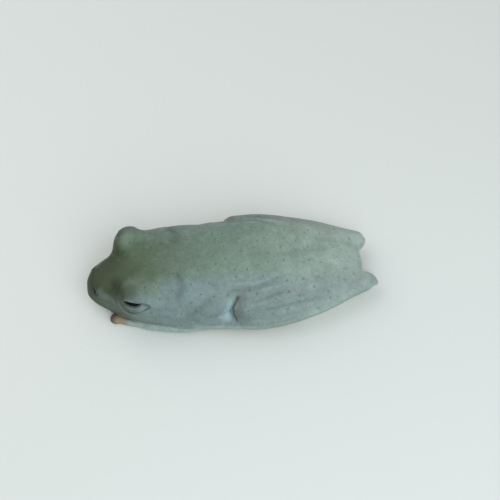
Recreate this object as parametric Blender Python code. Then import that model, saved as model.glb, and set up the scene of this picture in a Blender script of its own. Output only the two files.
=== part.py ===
# A sleeping gliding tree frog, life size, lying flat with its limbs folded close and its feet
# under it. +Z is up, the snout points to -Y and the frog's own left side is +X. The floor is z = 0.
import math

import bmesh
import bpy
import numpy as np
from mathutils import Matrix, Vector

# Driving sizes. Every other length is in units of UNIT, which is 1 mm at this snout to vent length.
SNOUT_TO_VENT = 0.055
UNIT = SNOUT_TO_VENT / 55.0
ORIGIN_AT = 28.8  # how far behind the snout tip the origin lies
GAP = 0.3  # clearance between pieces that touch
FLAT_ENOUGH = math.radians(1.5)  # faces flatter to each other than this become one
ROUGHNESS = {"skin": 0.45, "eye": 0.12}
SHARP_FROM = math.radians(40)  # edges sharper than this are shown sharp
SNAP = 1e-7  # the grid that vertices are snapped to, in metres
ROOM = 60.0  # reach of the blocks that trim the body, well past its ends
LEFT, RIGHT = 1, -1
BOTH = (LEFT, RIGHT)

# Trunk and head in one row of sections, from the snout tip to the vent:
# distance behind the snout, half width, underside, widest level, back, squareness of the back
BODY_SECTIONS = (
    (0.0, 1.0, 2.3, 3.3, 4.3, 2.0),
    (0.25, 2.3, 2.0, 3.3, 5.0, 2.1),
    (1.0, 3.7, 1.7, 3.2, 5.9, 2.2),
    (2.4, 4.9, 1.5, 3.1, 6.7, 2.4),
    (4.4, 6.1, 1.4, 3.0, 7.5, 2.5),
    (6.8, 7.4, 1.3, 3.0, 8.4, 2.6),
    (9.4, 8.6, 1.1, 3.1, 9.2, 2.6),
    (12.4, 9.7, 0.8, 3.4, 10.2, 2.6),
    (15.6, 10.2, 0.4, 3.8, 11.2, 2.5),
    (19.0, 10.1, -0.3, 4.3, 11.8, 2.5),
    (23.0, 9.8, -0.6, 4.7, 12.1, 2.4),
    (29.0, 9.7, -0.6, 4.8, 12.6, 2.3),
    (35.0, 9.5, -0.6, 4.8, 12.6, 2.3),
    (40.0, 8.9, -0.6, 4.7, 11.4, 2.3),
    (45.0, 8.0, -0.4, 4.4, 9.3, 2.3),
    (49.0, 6.9, 0.3, 3.9, 7.5, 2.3),
    (52.0, 5.6, 1.2, 3.5, 6.2, 2.3),
    (54.2, 3.6, 2.0, 3.4, 5.1, 2.2),
    (55.0, 1.7, 2.6, 3.4, 4.3, 2.0),
)
BODY_SIDES = 32
BELLY_SQUARENESS = 2.7
NECK_AT = 18.4
MOUTH_END_AT = 15.8
MOUTH_LEVEL = 2.75  # at the snout
MOUTH_RISE = 0.75
MOUTH_BEND = 0.62  # share of a half turn by which the mouth's line rises and falls again

EYE_AT = (6.0, 9.2, 8.1)  # left eye: side, distance behind the snout, level
EYEBALL = 2.45
LID_THICKNESS = 0.62
MOUND_BLEND = 2.6  # how far the swelling over the eye runs out into the head
EYE_FACES_FORWARD = math.radians(17)
EYE_FACES_UP = math.radians(30)
EYE_SLIT = (1.5, 2.1, 0.42)  # half depth, half length and half height of the opening
SLIT_DROOP = math.radians(-8)
LID_LENGTH = 2.3  # half length of the lids' rolled edges

# The lids' edges, upper and lower: level at the middle, bow, radius
LID_EDGES = ((0.42, 0.16, 0.3), (-0.34, -0.42, 0.26))

# The lips, upper and lower: height over the line of the mouth, radius
UPPER_LIP = (0.45, 0.36)
LOWER_LIP = (-0.4, 0.3)
LIP_END = 0.3  # the lips' radius at the corner of the mouth, as a share
LIP_SUNK = 0.16  # how far the middle of the lips' roll lies inside the head

# Small features: place on the left side (side, distance, level), radii
NOSTRIL = ((2.45, 1.15, 5.2), (0.42, 0.55, 0.9))
NOSTRIL_TILT = math.radians(35)
EARDRUM = ((9.6, 14.6, 5.2), (0.5, 1.5, 1.55))
VENT_FLAP = ((0, 54.4, 4.5), (2.0, 0.8, 0.55))

# The fold of skin over the eardrum, from behind the eye to above the arm
EAR_FOLD = ((8.3, 13.2, 7.6), (9.3, 16.2, 6.3), (9.5, 18.6, 5.2))
EAR_FOLD_RADIUS = 0.75
EAR_FOLD_BLEND = 0.9

TUCKED_IN = {LEFT: 0.0, RIGHT: 0.3}  # the right limbs are pressed closer to the body

# Limb rows: side, distance behind the snout, level, half width, half height
THIGH = (
    (4.9, 47.6, 4.9, 2.3, 2.4),
    (6.2, 43.5, 5.6, 2.9, 3.0),
    (7.7, 38.5, 6.0, 2.9, 3.2),
    (8.7, 33.0, 6.1, 2.7, 3.1),
    (9.1, 30.3, 5.9, 2.4, 2.8),
)
SHANK = (
    (10.2, 30.4, 3.1, 2.4, 2.3),
    (10.3, 34.0, 3.3, 2.7, 2.5),
    (9.7, 39.5, 3.4, 2.6, 2.5),
    (8.4, 46.0, 3.4, 2.4, 2.2),
    (6.3, 51.6, 3.5, 2.3, 2.0),
    (4.9, 54.4, 3.5, 2.2, 1.9),
)
UPPER_ARM = (
    (7.9, 18.6, 4.3, 2.0, 2.1),
    (8.0, 21.8, 5.4, 2.4, 2.6),
    (7.9, 25.5, 6.2, 2.5, 2.8),
)
FOREARM = (
    (9.5, 26.8, 3.2, 2.1, 2.3),
    (9.5, 22.6, 2.3, 1.9, 1.9),
    (9.3, 19.0, 1.7, 1.8, 1.5),
    (8.9, 16.0, 1.2, 1.5, 1.1),
)
HEEL_FLAP = ((5.0, 55.4, 3.4, 1.5, 0.8), (5.1, 56.5, 3.2, 1.0, 0.6), (5.2, 57.2, 3.0, 0.5, 0.4))
TARSUS = (
    (4.9, 54.4, 1.3, 1.3, 1.2),
    (6.1, 50.8, 1.1, 1.4, 1.1),
    (7.4, 46.8, 1.0, 1.5, 1.0),
    (8.3, 43.0, 0.8, 1.9, 0.9),
)
PALM = ((8.7, 15.4, 0.9, 1.4, 0.9), (8.0, 13.4, 0.8, 1.9, 0.9), (7.5, 11.7, 0.7, 1.7, 0.8))

# Digits: root (side, distance), tip (side, distance), outward bow of the middle
FINGERS = (
    ((6.5, 12.6), (4.0, 9.9), -0.2),
    ((6.6, 11.6), (3.0, 6.8), -0.2),
    ((7.3, 11.2), (3.9, 4.9), 0.1),
    ((8.2, 11.6), (6.3, 4.9), 0.4),
)
TOES = (
    ((7.2, 42.6), (4.1, 35.8), -0.3),
    ((7.6, 41.8), (3.9, 31.6), -0.3),
    ((8.2, 41.4), (5.3, 28.5), -0.1),
    ((8.8, 41.6), (7.6, 27.4), 0.1),
    ((9.3, 42.4), (9.9, 31.2), 0.4),
)
DIGIT_STOPS = (-0.08, 0.5, 0.97)  # shares of its length that a digit's shape is drawn through
DIGIT_RADIUS = 0.72
DIGIT_LEVEL = 0.62
DISC_RADIUS = 1.15
DISC_LEVEL = 0.5
DISC_HEIGHT = 0.75
WEB_STOPS = (0.0, 0.35, 0.7, 1.0)  # shares of the web's reach that its shape is drawn through
WEB_LOW, WEB_HIGH = 0.2, 0.85
WEB_REACH = 0.86  # how far along the digits the webs reach
WEB_HOLLOW = 0.5  # how far the web's edge draws back between two digits

COLOURS = {
    "skin": (0.27, 0.36, 0.31),
    "throat": (0.55, 0.58, 0.48),
    "digits": (0.62, 0.35, 0.10),
    "eye": (0.02, 0.018, 0.02),
}


def clear_scene():
    for thing in list(bpy.data.objects):
        bpy.data.objects.remove(thing)


def frog_collection():
    made = bpy.data.collections.new("sleeping_gliding_frog")
    bpy.context.scene.collection.children.link(made)
    return made


def place(side, distance, level):
    """A point of the frog, from its side, its distance behind the snout and its level, in units."""
    return Vector((side, distance - ORIGIN_AT, level))


def curve_through(rows, steps):
    """Rows read from a smooth curve through the given rows, with this many steps between two."""
    rows = [np.array(row, float) for row in rows]
    ends = [2 * rows[0] - rows[1], *rows, 2 * rows[-1] - rows[-2]]
    found = []
    for a, b, c, d in zip(ends, ends[1:], ends[2:], ends[3:]):
        for step in range(steps):
            t = step / steps
            found.append(
                0.5 * (2 * b + (c - a) * t + (2 * a - 5 * b + 4 * c - d) * t**2
                       + (3 * b - a - 3 * c + d) * t**3)
            )
    return [*found, rows[-1]]


def finished(name, bm):
    """The mesh object of a bmesh, triangulated and with its faces pointing out."""
    bmesh.ops.triangulate(bm, faces=bm.faces)
    bmesh.ops.recalc_face_normals(bm, faces=bm.faces)
    mesh = bpy.data.meshes.new(name)
    bm.to_mesh(mesh)
    bm.free()
    thing = bpy.data.objects.new(name, mesh)
    bpy.context.scene.collection.objects.link(thing)
    return thing


def loft(name, rings):
    """A closed mesh object through rings of equally many points, in units."""
    around = len(rings[0])
    bm = bmesh.new()
    bmesh.ops.create_grid(bm, x_segments=around, y_segments=len(rings) - 1, size=1)
    bm.verts.ensure_lookup_table()
    for row, ring in enumerate(rings):
        for column in range(around + 1):
            bm.verts[row * (around + 1) + column].co = ring[column % around] * UNIT
    bmesh.ops.remove_doubles(bm, verts=bm.verts, dist=1e-8)
    open_edges = [edge for edge in bm.edges if edge.is_boundary]
    caps = bmesh.ops.holes_fill(bm, edges=open_edges, sides=0)["faces"]
    bmesh.ops.poke(bm, faces=caps)
    return finished(name, bm)


def body_form(steps):
    """Head and trunk in one, with the swellings over the eyes and the folds over the eardrums."""
    rings = []
    for distance, half_width, low, middle, high, square in curve_through(BODY_SECTIONS, steps):
        core = place(0, distance, middle)
        ring = []
        for step in range(BODY_SIDES):
            angle = 2 * math.pi * step / BODY_SIDES
            across, rise = math.cos(angle), math.sin(angle)
            power = 2 / (square if rise > 0 else BELLY_SQUARENESS)
            reach = high - middle if rise > 0 else middle - low
            x = math.copysign(abs(across) ** power, across) * half_width
            z = middle + math.copysign(abs(rise) ** power, rise) * reach
            ring.append(swollen(place(x, distance, z), core))
        rings.append(ring)
    return loft("body_form", rings)


def swollen(point, core):
    """Moves a point of the plain body outward on to the swellings that blend with it."""
    side = RIGHT if point.x < 0 else LEFT
    outward = (point - core).normalized()
    mound_radius = EYEBALL + GAP + LID_THICKNESS
    folds = [place(side * x, d, z) for x, d, z in EAR_FOLD]

    def outside(reach):
        """Distance from the blended surface to a spot this far out from the plain body."""
        spot = point + outward * reach
        mound = (spot - eye_centre(side)).length - mound_radius
        fold = min(distance_to_line(spot, a, b) for a, b in zip(folds, folds[1:]))
        blended = smooth_least(reach, mound, MOUND_BLEND)
        return smooth_least(blended, fold - EAR_FOLD_RADIUS, EAR_FOLD_BLEND)

    near, far = 0.0, 6.0
    for _ in range(24):
        middle = (near + far) / 2
        if outside(middle) < 0:
            near = middle
        else:
            far = middle
    return point + outward * near


def smooth_least(a, b, blend):
    """The smaller of two distances, rounded off where they are close to each other."""
    overlap = max(blend - abs(a - b), 0) / blend
    return min(a, b) - overlap**2 * blend / 4


def distance_to_line(spot, start, end):
    along = end - start
    share = min(max((spot - start).dot(along) / along.length_squared, 0), 1)
    return (spot - start - along * share).length


def limb(name, rows, side, grow=0.0, sides=12, steps=2, dome=(34, 68)):
    """A rounded limb through its rows, with both ends domed."""
    rows = curve_through(rows, steps)
    centres = [place(side * (r[0] - TUCKED_IN[side]), r[1], r[2]) for r in rows]
    halves = [(r[3] + grow, r[4] + grow) for r in rows]
    tangents = [
        (centres[min(i + 1, len(rows) - 1)] - centres[max(i - 1, 0)]).normalized()
        for i in range(len(rows))
    ]
    rings = []
    for end, turns in ((0, dome[::-1]), (None, ()), (-1, dome)):
        if end is None:
            for centre, half, along in zip(centres, halves, tangents):
                rings.append(limb_ring(centre, half, along, sides))
            continue
        outward = -tangents[0] if end == 0 else tangents[-1]
        reach = min(halves[end])
        for turn in turns:
            turn = math.radians(turn)
            centre = centres[end] + outward * reach * math.sin(turn)
            half = [h * math.cos(turn) for h in halves[end]]
            rings.append(limb_ring(centre, half, tangents[end], sides))
    return loft(name, rings)


def limb_ring(centre, half, along, sides):
    across = along.cross(Vector((0, 0, 1))).normalized()
    rise = across.cross(along)
    turns = [2 * math.pi * step / sides for step in range(sides)]
    return [
        centre + across * half[0] * math.cos(turn) + rise * half[1] * math.sin(turn)
        for turn in turns
    ]


def ellipsoid(name, centre, radii, rings=8, around=14, turn=None):
    """An ellipsoid with its own axes turned by a matrix, if one is given."""
    bm = bmesh.new()
    bmesh.ops.create_uvsphere(bm, u_segments=around, v_segments=rings, radius=1)
    stretch = Matrix.Diagonal((*[r * UNIT for r in radii], 1))
    pose = Matrix.Translation(centre * UNIT) @ (turn or Matrix.Identity(4)) @ stretch
    bmesh.ops.transform(bm, matrix=pose, verts=bm.verts)
    return finished(name, bm)


def web(name, group, side, grow=0.0):
    """The folded skin between the digits, one thin plate with a hollow edge between each two."""
    rows = []
    for share in WEB_STOPS:
        spots = [Vector(digit_point(digit, share * WEB_REACH)) for digit in group]
        row = [spots[0]]
        for first, second in zip(spots, spots[1:]):
            row += [(first + second) / 2, second]
        rows.append(row)
    for column in range(1, len(rows[-1]), 2):
        rows[-1][column] = rows[-1][column].lerp(rows[-2][column], WEB_HOLLOW)
    low, high = WEB_LOW - grow, WEB_HIGH + grow
    bm = bmesh.new()
    bmesh.ops.create_grid(bm, x_segments=len(rows[0]) - 1, y_segments=len(rows) - 1, size=1)
    bm.verts.ensure_lookup_table()
    flat = [spot for row in rows for spot in row]
    for vert, spot in zip(bm.verts, flat):
        vert.co = place(side * (spot.x - TUCKED_IN[side]), spot.y, low) * UNIT
    lifted = bmesh.ops.extrude_face_region(bm, geom=bm.faces[:] + bm.edges[:] + bm.verts[:])
    raised = [part for part in lifted["geom"] if isinstance(part, bmesh.types.BMVert)]
    bmesh.ops.translate(bm, verts=raised, vec=(0, 0, (high - low) * UNIT))
    return finished(name, bm)


def digit_point(digit, share):
    """A point of a digit's middle line, bowed sideways."""
    (x0, d0), (x1, d1), bow = digit
    return (
        x0 + (x1 - x0) * share + bow * math.sin(math.pi * share),
        d0 + (d1 - d0) * share,
    )


def digits(name, group, side, grow=0.0):
    """Fingers or toes with their end discs and the webs between them."""
    pieces = []
    for digit in group:
        rows = [
            (*digit_point(digit, share), DIGIT_LEVEL, DIGIT_RADIUS, DIGIT_RADIUS)
            for share in DIGIT_STOPS
        ]
        pieces.append(limb(name + "_digit", rows, side, grow, sides=7, dome=(50,)))
        x, d = digit[1]
        tip = place(side * (x - TUCKED_IN[side]), d, DISC_LEVEL)
        radii = [DISC_RADIUS + grow, DISC_RADIUS + grow, DISC_HEIGHT + grow]
        pieces.append(ellipsoid(name + "_disc", tip, radii, 6, 9))
    pieces.append(web(name + "_web", group, side, grow))
    return pieces


def boolean(thing, operation, others):
    """Applies one Boolean of a collection of closed meshes to thing, and removes them.

    The second solver takes over where the first leaves the surface open.
    """
    tools = bpy.data.collections.new("tools")
    for other in others:
        tools.objects.link(other)
    change = thing.modifiers.new(operation, "BOOLEAN")
    change.operation = operation
    change.operand_type = "COLLECTION"
    change.collection = tools
    for solver in ("EXACT", "MANIFOLD"):
        change.solver = solver
        graph = bpy.context.evaluated_depsgraph_get()
        result = bpy.data.meshes.new_from_object(thing.evaluated_get(graph))
        if is_closed(result):
            break
    thing.modifiers.clear()
    thing.data = result
    for other in others:
        bpy.data.objects.remove(other)
    bpy.data.collections.remove(tools)
    return thing


def is_closed(mesh):
    bm = bmesh.new()
    bm.from_mesh(mesh)
    closed = bool(bm.faces) and all(edge.is_manifold for edge in bm.edges)
    bm.free()
    return closed


def joined(name, pieces):
    """One closed body from overlapping pieces."""
    first, *rest = pieces
    if rest:
        boolean(first, "UNION", rest)
    first.name = name
    return first


def cut(thing, tools):
    """Takes the tools away from thing and keeps its largest closed surface."""
    return largest_only(boolean(thing, "DIFFERENCE", tools))


def largest_only(thing):
    bm = bmesh.new()
    bm.from_mesh(thing.data)
    bmesh.ops.remove_doubles(bm, verts=bm.verts, dist=2e-6)
    in_order(bm)
    bmesh.ops.triangulate(bm, faces=bm.faces)
    unseen, shells = set(bm.verts), []
    while unseen:
        shell, front = set(), [unseen.pop()]
        while front:
            vert = front.pop()
            shell.add(vert)
            near = {edge.other_vert(vert) for edge in vert.link_edges} & unseen
            unseen -= near
            front.extend(near)
        shells.append(shell)
    biggest = max(shells, key=len)
    bmesh.ops.delete(bm, geom=[v for v in bm.verts if v not in biggest], context="VERTS")
    bm.to_mesh(thing.data)
    for angle in (FLAT_ENOUGH, FLAT_ENOUGH / 3):
        plainer = bm.copy()
        bmesh.ops.dissolve_limit(
            plainer, angle_limit=angle, verts=plainer.verts, edges=plainer.edges
        )
        bmesh.ops.triangulate(plainer, faces=plainer.faces)
        if all(edge.is_manifold for edge in plainer.edges):
            in_order(plainer)
            plainer.to_mesh(thing.data)
            plainer.free()
            break
        plainer.free()
    bm.free()
    return thing


def in_order(bm):
    """Snaps vertices to a fine grid and sorts all parts by place, so that every run goes on alike."""
    for vert in bm.verts:
        vert.co = [round(value / SNAP) * SNAP for value in vert.co]
    middles = (
        (bm.verts, lambda vert: vert.co),
        (bm.edges, lambda edge: (edge.verts[0].co + edge.verts[1].co) / 2),
        (bm.faces, lambda face: face.calc_center_median()),
    )
    for parts, middle in middles:
        places = sorted(parts, key=lambda part: tuple(middle(part)))
        ranks = {part: rank for rank, part in enumerate(places)}
        parts.sort(key=ranks.get)


def block(name, low, high):
    """A plain box between two corners, in units."""
    bm = bmesh.new()
    bmesh.ops.create_cube(bm, size=1)
    size = high - low
    pose = Matrix.Translation((low + high) / 2 * UNIT) @ Matrix.Diagonal((*(size * UNIT), 1))
    bmesh.ops.transform(bm, matrix=pose, verts=bm.verts)
    return finished(name, bm)


def floor_block():
    return block("floor", place(-ROOM, -ROOM, -ROOM), place(ROOM, 2 * ROOM, 0))


def block_behind(distance):
    return block("behind", place(-ROOM, distance, -ROOM), place(ROOM, 2 * ROOM, ROOM))


def block_ahead(distance):
    return block("ahead", place(-ROOM, -ROOM, -ROOM), place(ROOM, distance, ROOM))


def mouth_level(distance):
    """The mouth rises from the snout and turns down a little at its corner."""
    share = min(max(distance / MOUTH_END_AT, 0.0), 1.1)
    return MOUTH_LEVEL + MOUTH_RISE * math.sin(math.pi * MOUTH_BEND * share)


def mouth_block(below):
    """Everything below the line of the mouth, or everything above it."""
    shift = GAP / 2 if below else -GAP / 2
    start, end = -0.3 * NECK_AT, 1.1 * NECK_AT
    bm = bmesh.new()
    bmesh.ops.create_grid(bm, x_segments=2, y_segments=14, size=1)
    for vert in bm.verts:
        distance = start + (end - start) * (vert.co.y + 1) / 2
        vert.co = place(vert.co.x * ROOM, distance, mouth_level(distance) + shift) * UNIT
    lifted = bmesh.ops.extrude_face_region(bm, geom=bm.faces[:] + bm.edges[:] + bm.verts[:])
    moved = [part for part in lifted["geom"] if isinstance(part, bmesh.types.BMVert)]
    bmesh.ops.translate(bm, verts=moved, vec=(0, 0, (-ROOM if below else ROOM) * UNIT))
    return finished("mouth_block", bm)


def lip(rise, thick):
    """A low roll of skin along the mouth, from one corner round the snout to the other."""
    path = []
    for distance, half_width, low, middle, high, square in curve_through(BODY_SECTIONS, 2):
        if distance <= MOUTH_END_AT:
            level = mouth_level(distance) + rise
            share = min(abs(level - middle) / (middle - low), 1)
            side = half_width * (1 - share**BELLY_SQUARENESS) ** (1 / BELLY_SQUARENESS)
            path.append((side - LIP_SUNK, distance + LIP_SUNK, level))
    spots = [place(-x, d, z) for x, d, z in path[:0:-1]]
    spots += [place(0, *path[0][1:])]
    spots += [place(x, d, z) for x, d, z in path[1:]]
    rings = []
    for index, spot in enumerate(spots):
        ahead = spots[min(index + 1, len(spots) - 1)]
        behind = spots[max(index - 1, 0)]
        taper = LIP_END + (1 - LIP_END) * min(index, len(spots) - 1 - index, 3) / 3
        half = (thick * taper, thick * taper)
        rings.append(limb_ring(spot, half, (ahead - behind).normalized(), 6))
    return loft("lip", rings)


def eye_centre(side):
    return on_side(EYE_AT, side)


def eye_turn(side):
    """Turns a shape that looks along +X, with +Y to the rear, to where this side's eye looks."""
    mirrored = Matrix.Diagonal((side, 1, 1, 1))
    turned = Matrix.Rotation(-EYE_FACES_FORWARD, 4, "Z") @ Matrix.Rotation(-EYE_FACES_UP, 4, "Y")
    return mirrored @ turned


def eye_socket(side):
    radius = EYEBALL + GAP
    return ellipsoid("socket", eye_centre(side), (radius, radius, radius), 10, 16)


def eye_slit(side):
    """A lens through both lids, drooping a little to the rear."""
    turn = eye_turn(side)
    centre = eye_centre(side) + turn @ Vector((EYEBALL + GAP + LID_THICKNESS / 2, 0, 0))
    droop = Matrix.Rotation(SLIT_DROOP, 4, "X")
    return ellipsoid("slit", centre, EYE_SLIT, 8, 14, turn @ droop)


def lid_rims(side):
    """The edges of the upper and the lower lid, two bowed rolls along the slit."""
    surface = EYEBALL + GAP + LID_THICKNESS
    droop = Matrix.Rotation(SLIT_DROOP, 4, "X")
    rims = []
    for lift, bow, thick in LID_EDGES:
        rings = []
        for share in np.linspace(-1, 1, 9):
            level = lift * (1 - share**2) ** 0.5 + bow * (1 - share**2)
            away = droop @ Vector((EYEBALL, LID_LENGTH * share, level))
            centre = eye_centre(side) + eye_turn(side) @ away.normalized() * surface
            radius = thick * (1 - 0.65 * share**2)
            along = (eye_turn(side) @ Vector((-share, 1, 0))).normalized()
            rings.append(limb_ring(centre, (radius, radius), along, 6))
        rims.append(loft("rim", rings))
    return rims


def on_side(spot, side):
    """A place given for the left side, on the side asked for."""
    return place(side * spot[0], *spot[1:])


def nostril(side):
    """A slanting pit near the tip of the snout."""
    spot, radii = NOSTRIL
    pose = Matrix.Rotation(NOSTRIL_TILT * side, 4, "Y")
    return ellipsoid("nostril", on_side(spot, side), radii, 6, 8, pose)


def eardrum(side):
    """A shallow raised disc behind the eye."""
    spot, radii = EARDRUM
    return ellipsoid("eardrum", on_side(spot, side), radii, 6, 14)


def vent_flap():
    """The fold of skin over the vent."""
    spot, radii = VENT_FLAP
    return ellipsoid("vent_flap", place(*spot), radii, 6, 12)


def limb_pieces(part, side, grow=0.0):
    """The closed pieces of one limb node, at their size or grown to cut a neighbour clear."""
    if part == "thigh":
        return [limb(part, THIGH, side, grow)]
    if part == "shank":
        return [limb(part, SHANK, side, grow), limb("flap", HEEL_FLAP, side, grow, sides=8)]
    if part == "foot":
        return [limb(part, TARSUS, side, grow), *digits("toe", TOES, side, grow)]
    if part == "upper_arm":
        return [limb(part, UPPER_ARM, side, grow)]
    if part == "forearm":
        return [limb(part, FOREARM, side, grow)]
    return [limb(part, PALM, side, grow), *digits("finger", FINGERS, side, grow)]


def cutters(parts, sides=BOTH):
    return [piece for side in sides for part in parts for piece in limb_pieces(part, side, GAP)]


# Each limb node, and the nodes that keep their whole shape where it would cross them
LIMB_NODES = {
    "foot": (),
    "hand": (),
    "shank": ("foot",),
    "thigh": ("shank", "foot"),
    "forearm": ("hand", "foot", "shank", "thigh"),
    "upper_arm": ("forearm", "foot", "thigh", "shank"),
}


def make_limbs(side, word):
    nodes = []
    for part, neighbours in LIMB_NODES.items():
        node = joined(f"{part}_{word}", limb_pieces(part, side))
        nodes.append(cut(node, [*cutters(neighbours, (side,)), floor_block()]))
    return nodes


def make_torso():
    torso = joined("torso", [body_form(steps=2), vent_flap()])
    return cut(torso, [block_ahead(NECK_AT + GAP / 2), *cutters(LIMB_NODES), floor_block()])


def make_head():
    extras = [lip(*UPPER_LIP)]
    for side in BOTH:
        extras += [eardrum(side), *lid_rims(side)]
    head = joined("head", [body_form(steps=3), *extras])
    cut(head, [block_behind(NECK_AT - GAP / 2), mouth_block(below=True)])
    cut(head, [hollow(side) for side in BOTH for hollow in (eye_socket, eye_slit, nostril)])
    return cut(head, cutters(("upper_arm", "forearm", "hand")))


def make_jaw():
    jaw = joined("lower_jaw", [body_form(steps=3), lip(*LOWER_LIP)])
    tools = [block_behind(NECK_AT - GAP / 2), mouth_block(below=False), floor_block()]
    return cut(jaw, [*tools, *cutters(("upper_arm", "forearm", "hand"))])


def make_eye(side, word):
    radii = (EYEBALL, EYEBALL, EYEBALL)
    return ellipsoid(f"eye_{word}", eye_centre(side), radii, 10, 16)


def material(name):
    made = bpy.data.materials.new(name)
    made.use_nodes = True
    shader = made.node_tree.nodes["Principled BSDF"]
    shader.inputs["Base Color"].default_value = (*COLOURS[name], 1)
    shader.inputs["Roughness"].default_value = ROUGHNESS["eye" if name == "eye" else "skin"]
    shader.inputs["Metallic"].default_value = 0.0
    return made


def finish_looks(nodes):
    finishes = {name: material(name) for name in COLOURS}
    kinds = {"eye": "eye", "foot": "digits", "hand": "digits", "lower": "throat"}
    collection = frog_collection()
    for node in nodes:
        kind = kinds.get(node.name.split("_")[0], "skin")
        node.data.materials.clear()
        node.data.materials.append(finishes[kind])
        node.data.shade_smooth()
        node.data.set_sharp_from_angle(angle=SHARP_FROM)
        bpy.context.scene.collection.objects.unlink(node)
        collection.objects.link(node)


def main():
    clear_scene()
    nodes = [make_torso(), make_head(), make_jaw()]
    for side, word in ((LEFT, "left"), (RIGHT, "right")):
        nodes.append(make_eye(side, word))
        nodes += make_limbs(side, word)
    finish_looks(nodes)


main()
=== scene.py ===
import math

import bmesh
import bpy
import numpy as np
from mathutils import Matrix, Vector


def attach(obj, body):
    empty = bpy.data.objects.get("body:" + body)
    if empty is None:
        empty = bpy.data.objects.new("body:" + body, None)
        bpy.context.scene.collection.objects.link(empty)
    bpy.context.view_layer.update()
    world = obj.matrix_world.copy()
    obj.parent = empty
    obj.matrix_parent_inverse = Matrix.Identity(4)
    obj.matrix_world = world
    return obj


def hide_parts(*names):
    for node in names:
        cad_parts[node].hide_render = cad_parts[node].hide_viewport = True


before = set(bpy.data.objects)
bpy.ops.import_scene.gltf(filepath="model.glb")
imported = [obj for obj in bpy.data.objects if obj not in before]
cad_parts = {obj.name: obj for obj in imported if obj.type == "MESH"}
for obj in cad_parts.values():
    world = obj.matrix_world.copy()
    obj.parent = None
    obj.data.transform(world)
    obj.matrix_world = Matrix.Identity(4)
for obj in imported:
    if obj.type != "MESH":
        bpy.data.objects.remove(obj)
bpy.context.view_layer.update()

MM = 0.001
ORIGIN_AT = 28.8  # how far behind the snout tip the origin lies
LEFT, RIGHT = 1, -1
BOTH = (LEFT, RIGHT)
FAR_OFF, TINY, SMALL = 1e9, 1e-12, 1e-6
PATH_STEPS, DIGIT_PATH_STEPS = 6, 2  # steps between two spots of a path

# Trunk and head in one row of sections, from the snout tip to the vent:
# distance behind the snout, half width, underside, widest level, back, squareness of the back
BODY_SECTIONS = (
    (0.0, 1.0, 2.3, 3.3, 4.3, 2.0),
    (0.25, 2.0, 2.0, 3.3, 5.0, 2.2),
    (1.0, 3.1, 1.7, 3.2, 6.0, 2.4),
    (2.4, 4.3, 1.5, 3.1, 6.8, 2.6),
    (4.4, 5.65, 1.4, 3.0, 7.6, 2.6),
    (6.8, 7.2, 1.3, 3.0, 8.4, 2.6),
    (9.4, 8.6, 1.1, 3.1, 9.2, 2.6),
    (12.4, 9.7, 0.8, 3.4, 10.2, 2.6),
    (15.6, 10.2, 0.4, 3.8, 11.2, 2.5),
    (19.0, 10.1, -0.3, 4.3, 11.8, 2.5),
    (23.0, 9.8, -0.6, 4.7, 12.1, 2.4),
    (29.0, 9.7, -0.6, 4.8, 12.6, 2.3),
    (35.0, 9.5, -0.6, 4.8, 12.6, 2.3),
    (40.0, 8.9, -0.6, 4.7, 11.4, 2.3),
    (45.0, 8.0, -0.4, 4.4, 9.3, 2.3),
    (49.0, 6.9, 0.3, 3.9, 7.5, 2.3),
    (52.0, 5.6, 1.2, 3.5, 6.2, 2.3),
    (54.1, 3.6, 2.0, 3.4, 5.1, 2.2),
    (54.75, 1.9, 2.6, 3.4, 4.3, 2.0),
)
BELLY_SQUARENESS = 2.7
BODY_SIDES, BODY_STEPS = 96, 6
COARSE_STEPS = 4  # where only the body's width is read from the sections
MOUTH_END_AT = 15.8
MOUTH_LEVEL, MOUTH_RISE, MOUTH_BEND = 2.75, 0.75, 0.62
MOUTH_PAST = 1.1  # its level goes on to this share of its length
MOUTH_FADE = (0.2, -4.5)  # where the line fades, measured from its end
MOUTH_WIDTHS, MOUTH_DEPTH = (0.08, 0.1), 0.34  # least half width of the line, and what is added
UPPER_LIP, LOWER_LIP = (0.5, 0.34, 0.18), (-0.5, 0.34, 0.1)  # level from the line, reach, height
MOUTH_SHADE = (0.0, 0.5)  # how fast its painted shade sets in
UPRIGHT = (0.05, 0.5)  # how much the skin turns away from level where the line shows
HEAD_EDGE = (0.9, 0.5)  # how far outside the head's own width the line ends

EYE_AT = np.array((6.0, 9.2, 8.1))  # left eye: side, distance behind the snout, level
LID_RADIUS = 3.37  # from the middle of the eyeball to the skin over it
EYEBALL = 2.8
EYE_SEGMENTS, EYE_RINGS = 64, 40
PUPIL_HALVES, PUPIL_EDGE, IRIS_EDGE = (0.5, 0.26), (1.08, 0.92), (0.92, 0.8)  # of its radius
MOUND_BLEND = 2.6
EYE_FACES_FORWARD, EYE_FACES_UP = math.radians(17), math.radians(30)

EAR_FOLD = ((8.3, 13.2, 7.6), (9.3, 16.2, 6.3), (9.5, 18.6, 5.2))
EAR_FOLD_RADIUS, EAR_FOLD_BLEND = 0.75, 0.9
SWELL_REACH, SWELL_ROUNDS = 6.0, 22  # farthest that a swelling goes, and the search for its edge

TUCKED_IN = {LEFT: 0.0, RIGHT: 0.4}  # the right limbs are pressed closer to the body
LIMBS_BEGIN = (2.5, 5.0)  # how far from the middle that shift sets in

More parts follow.
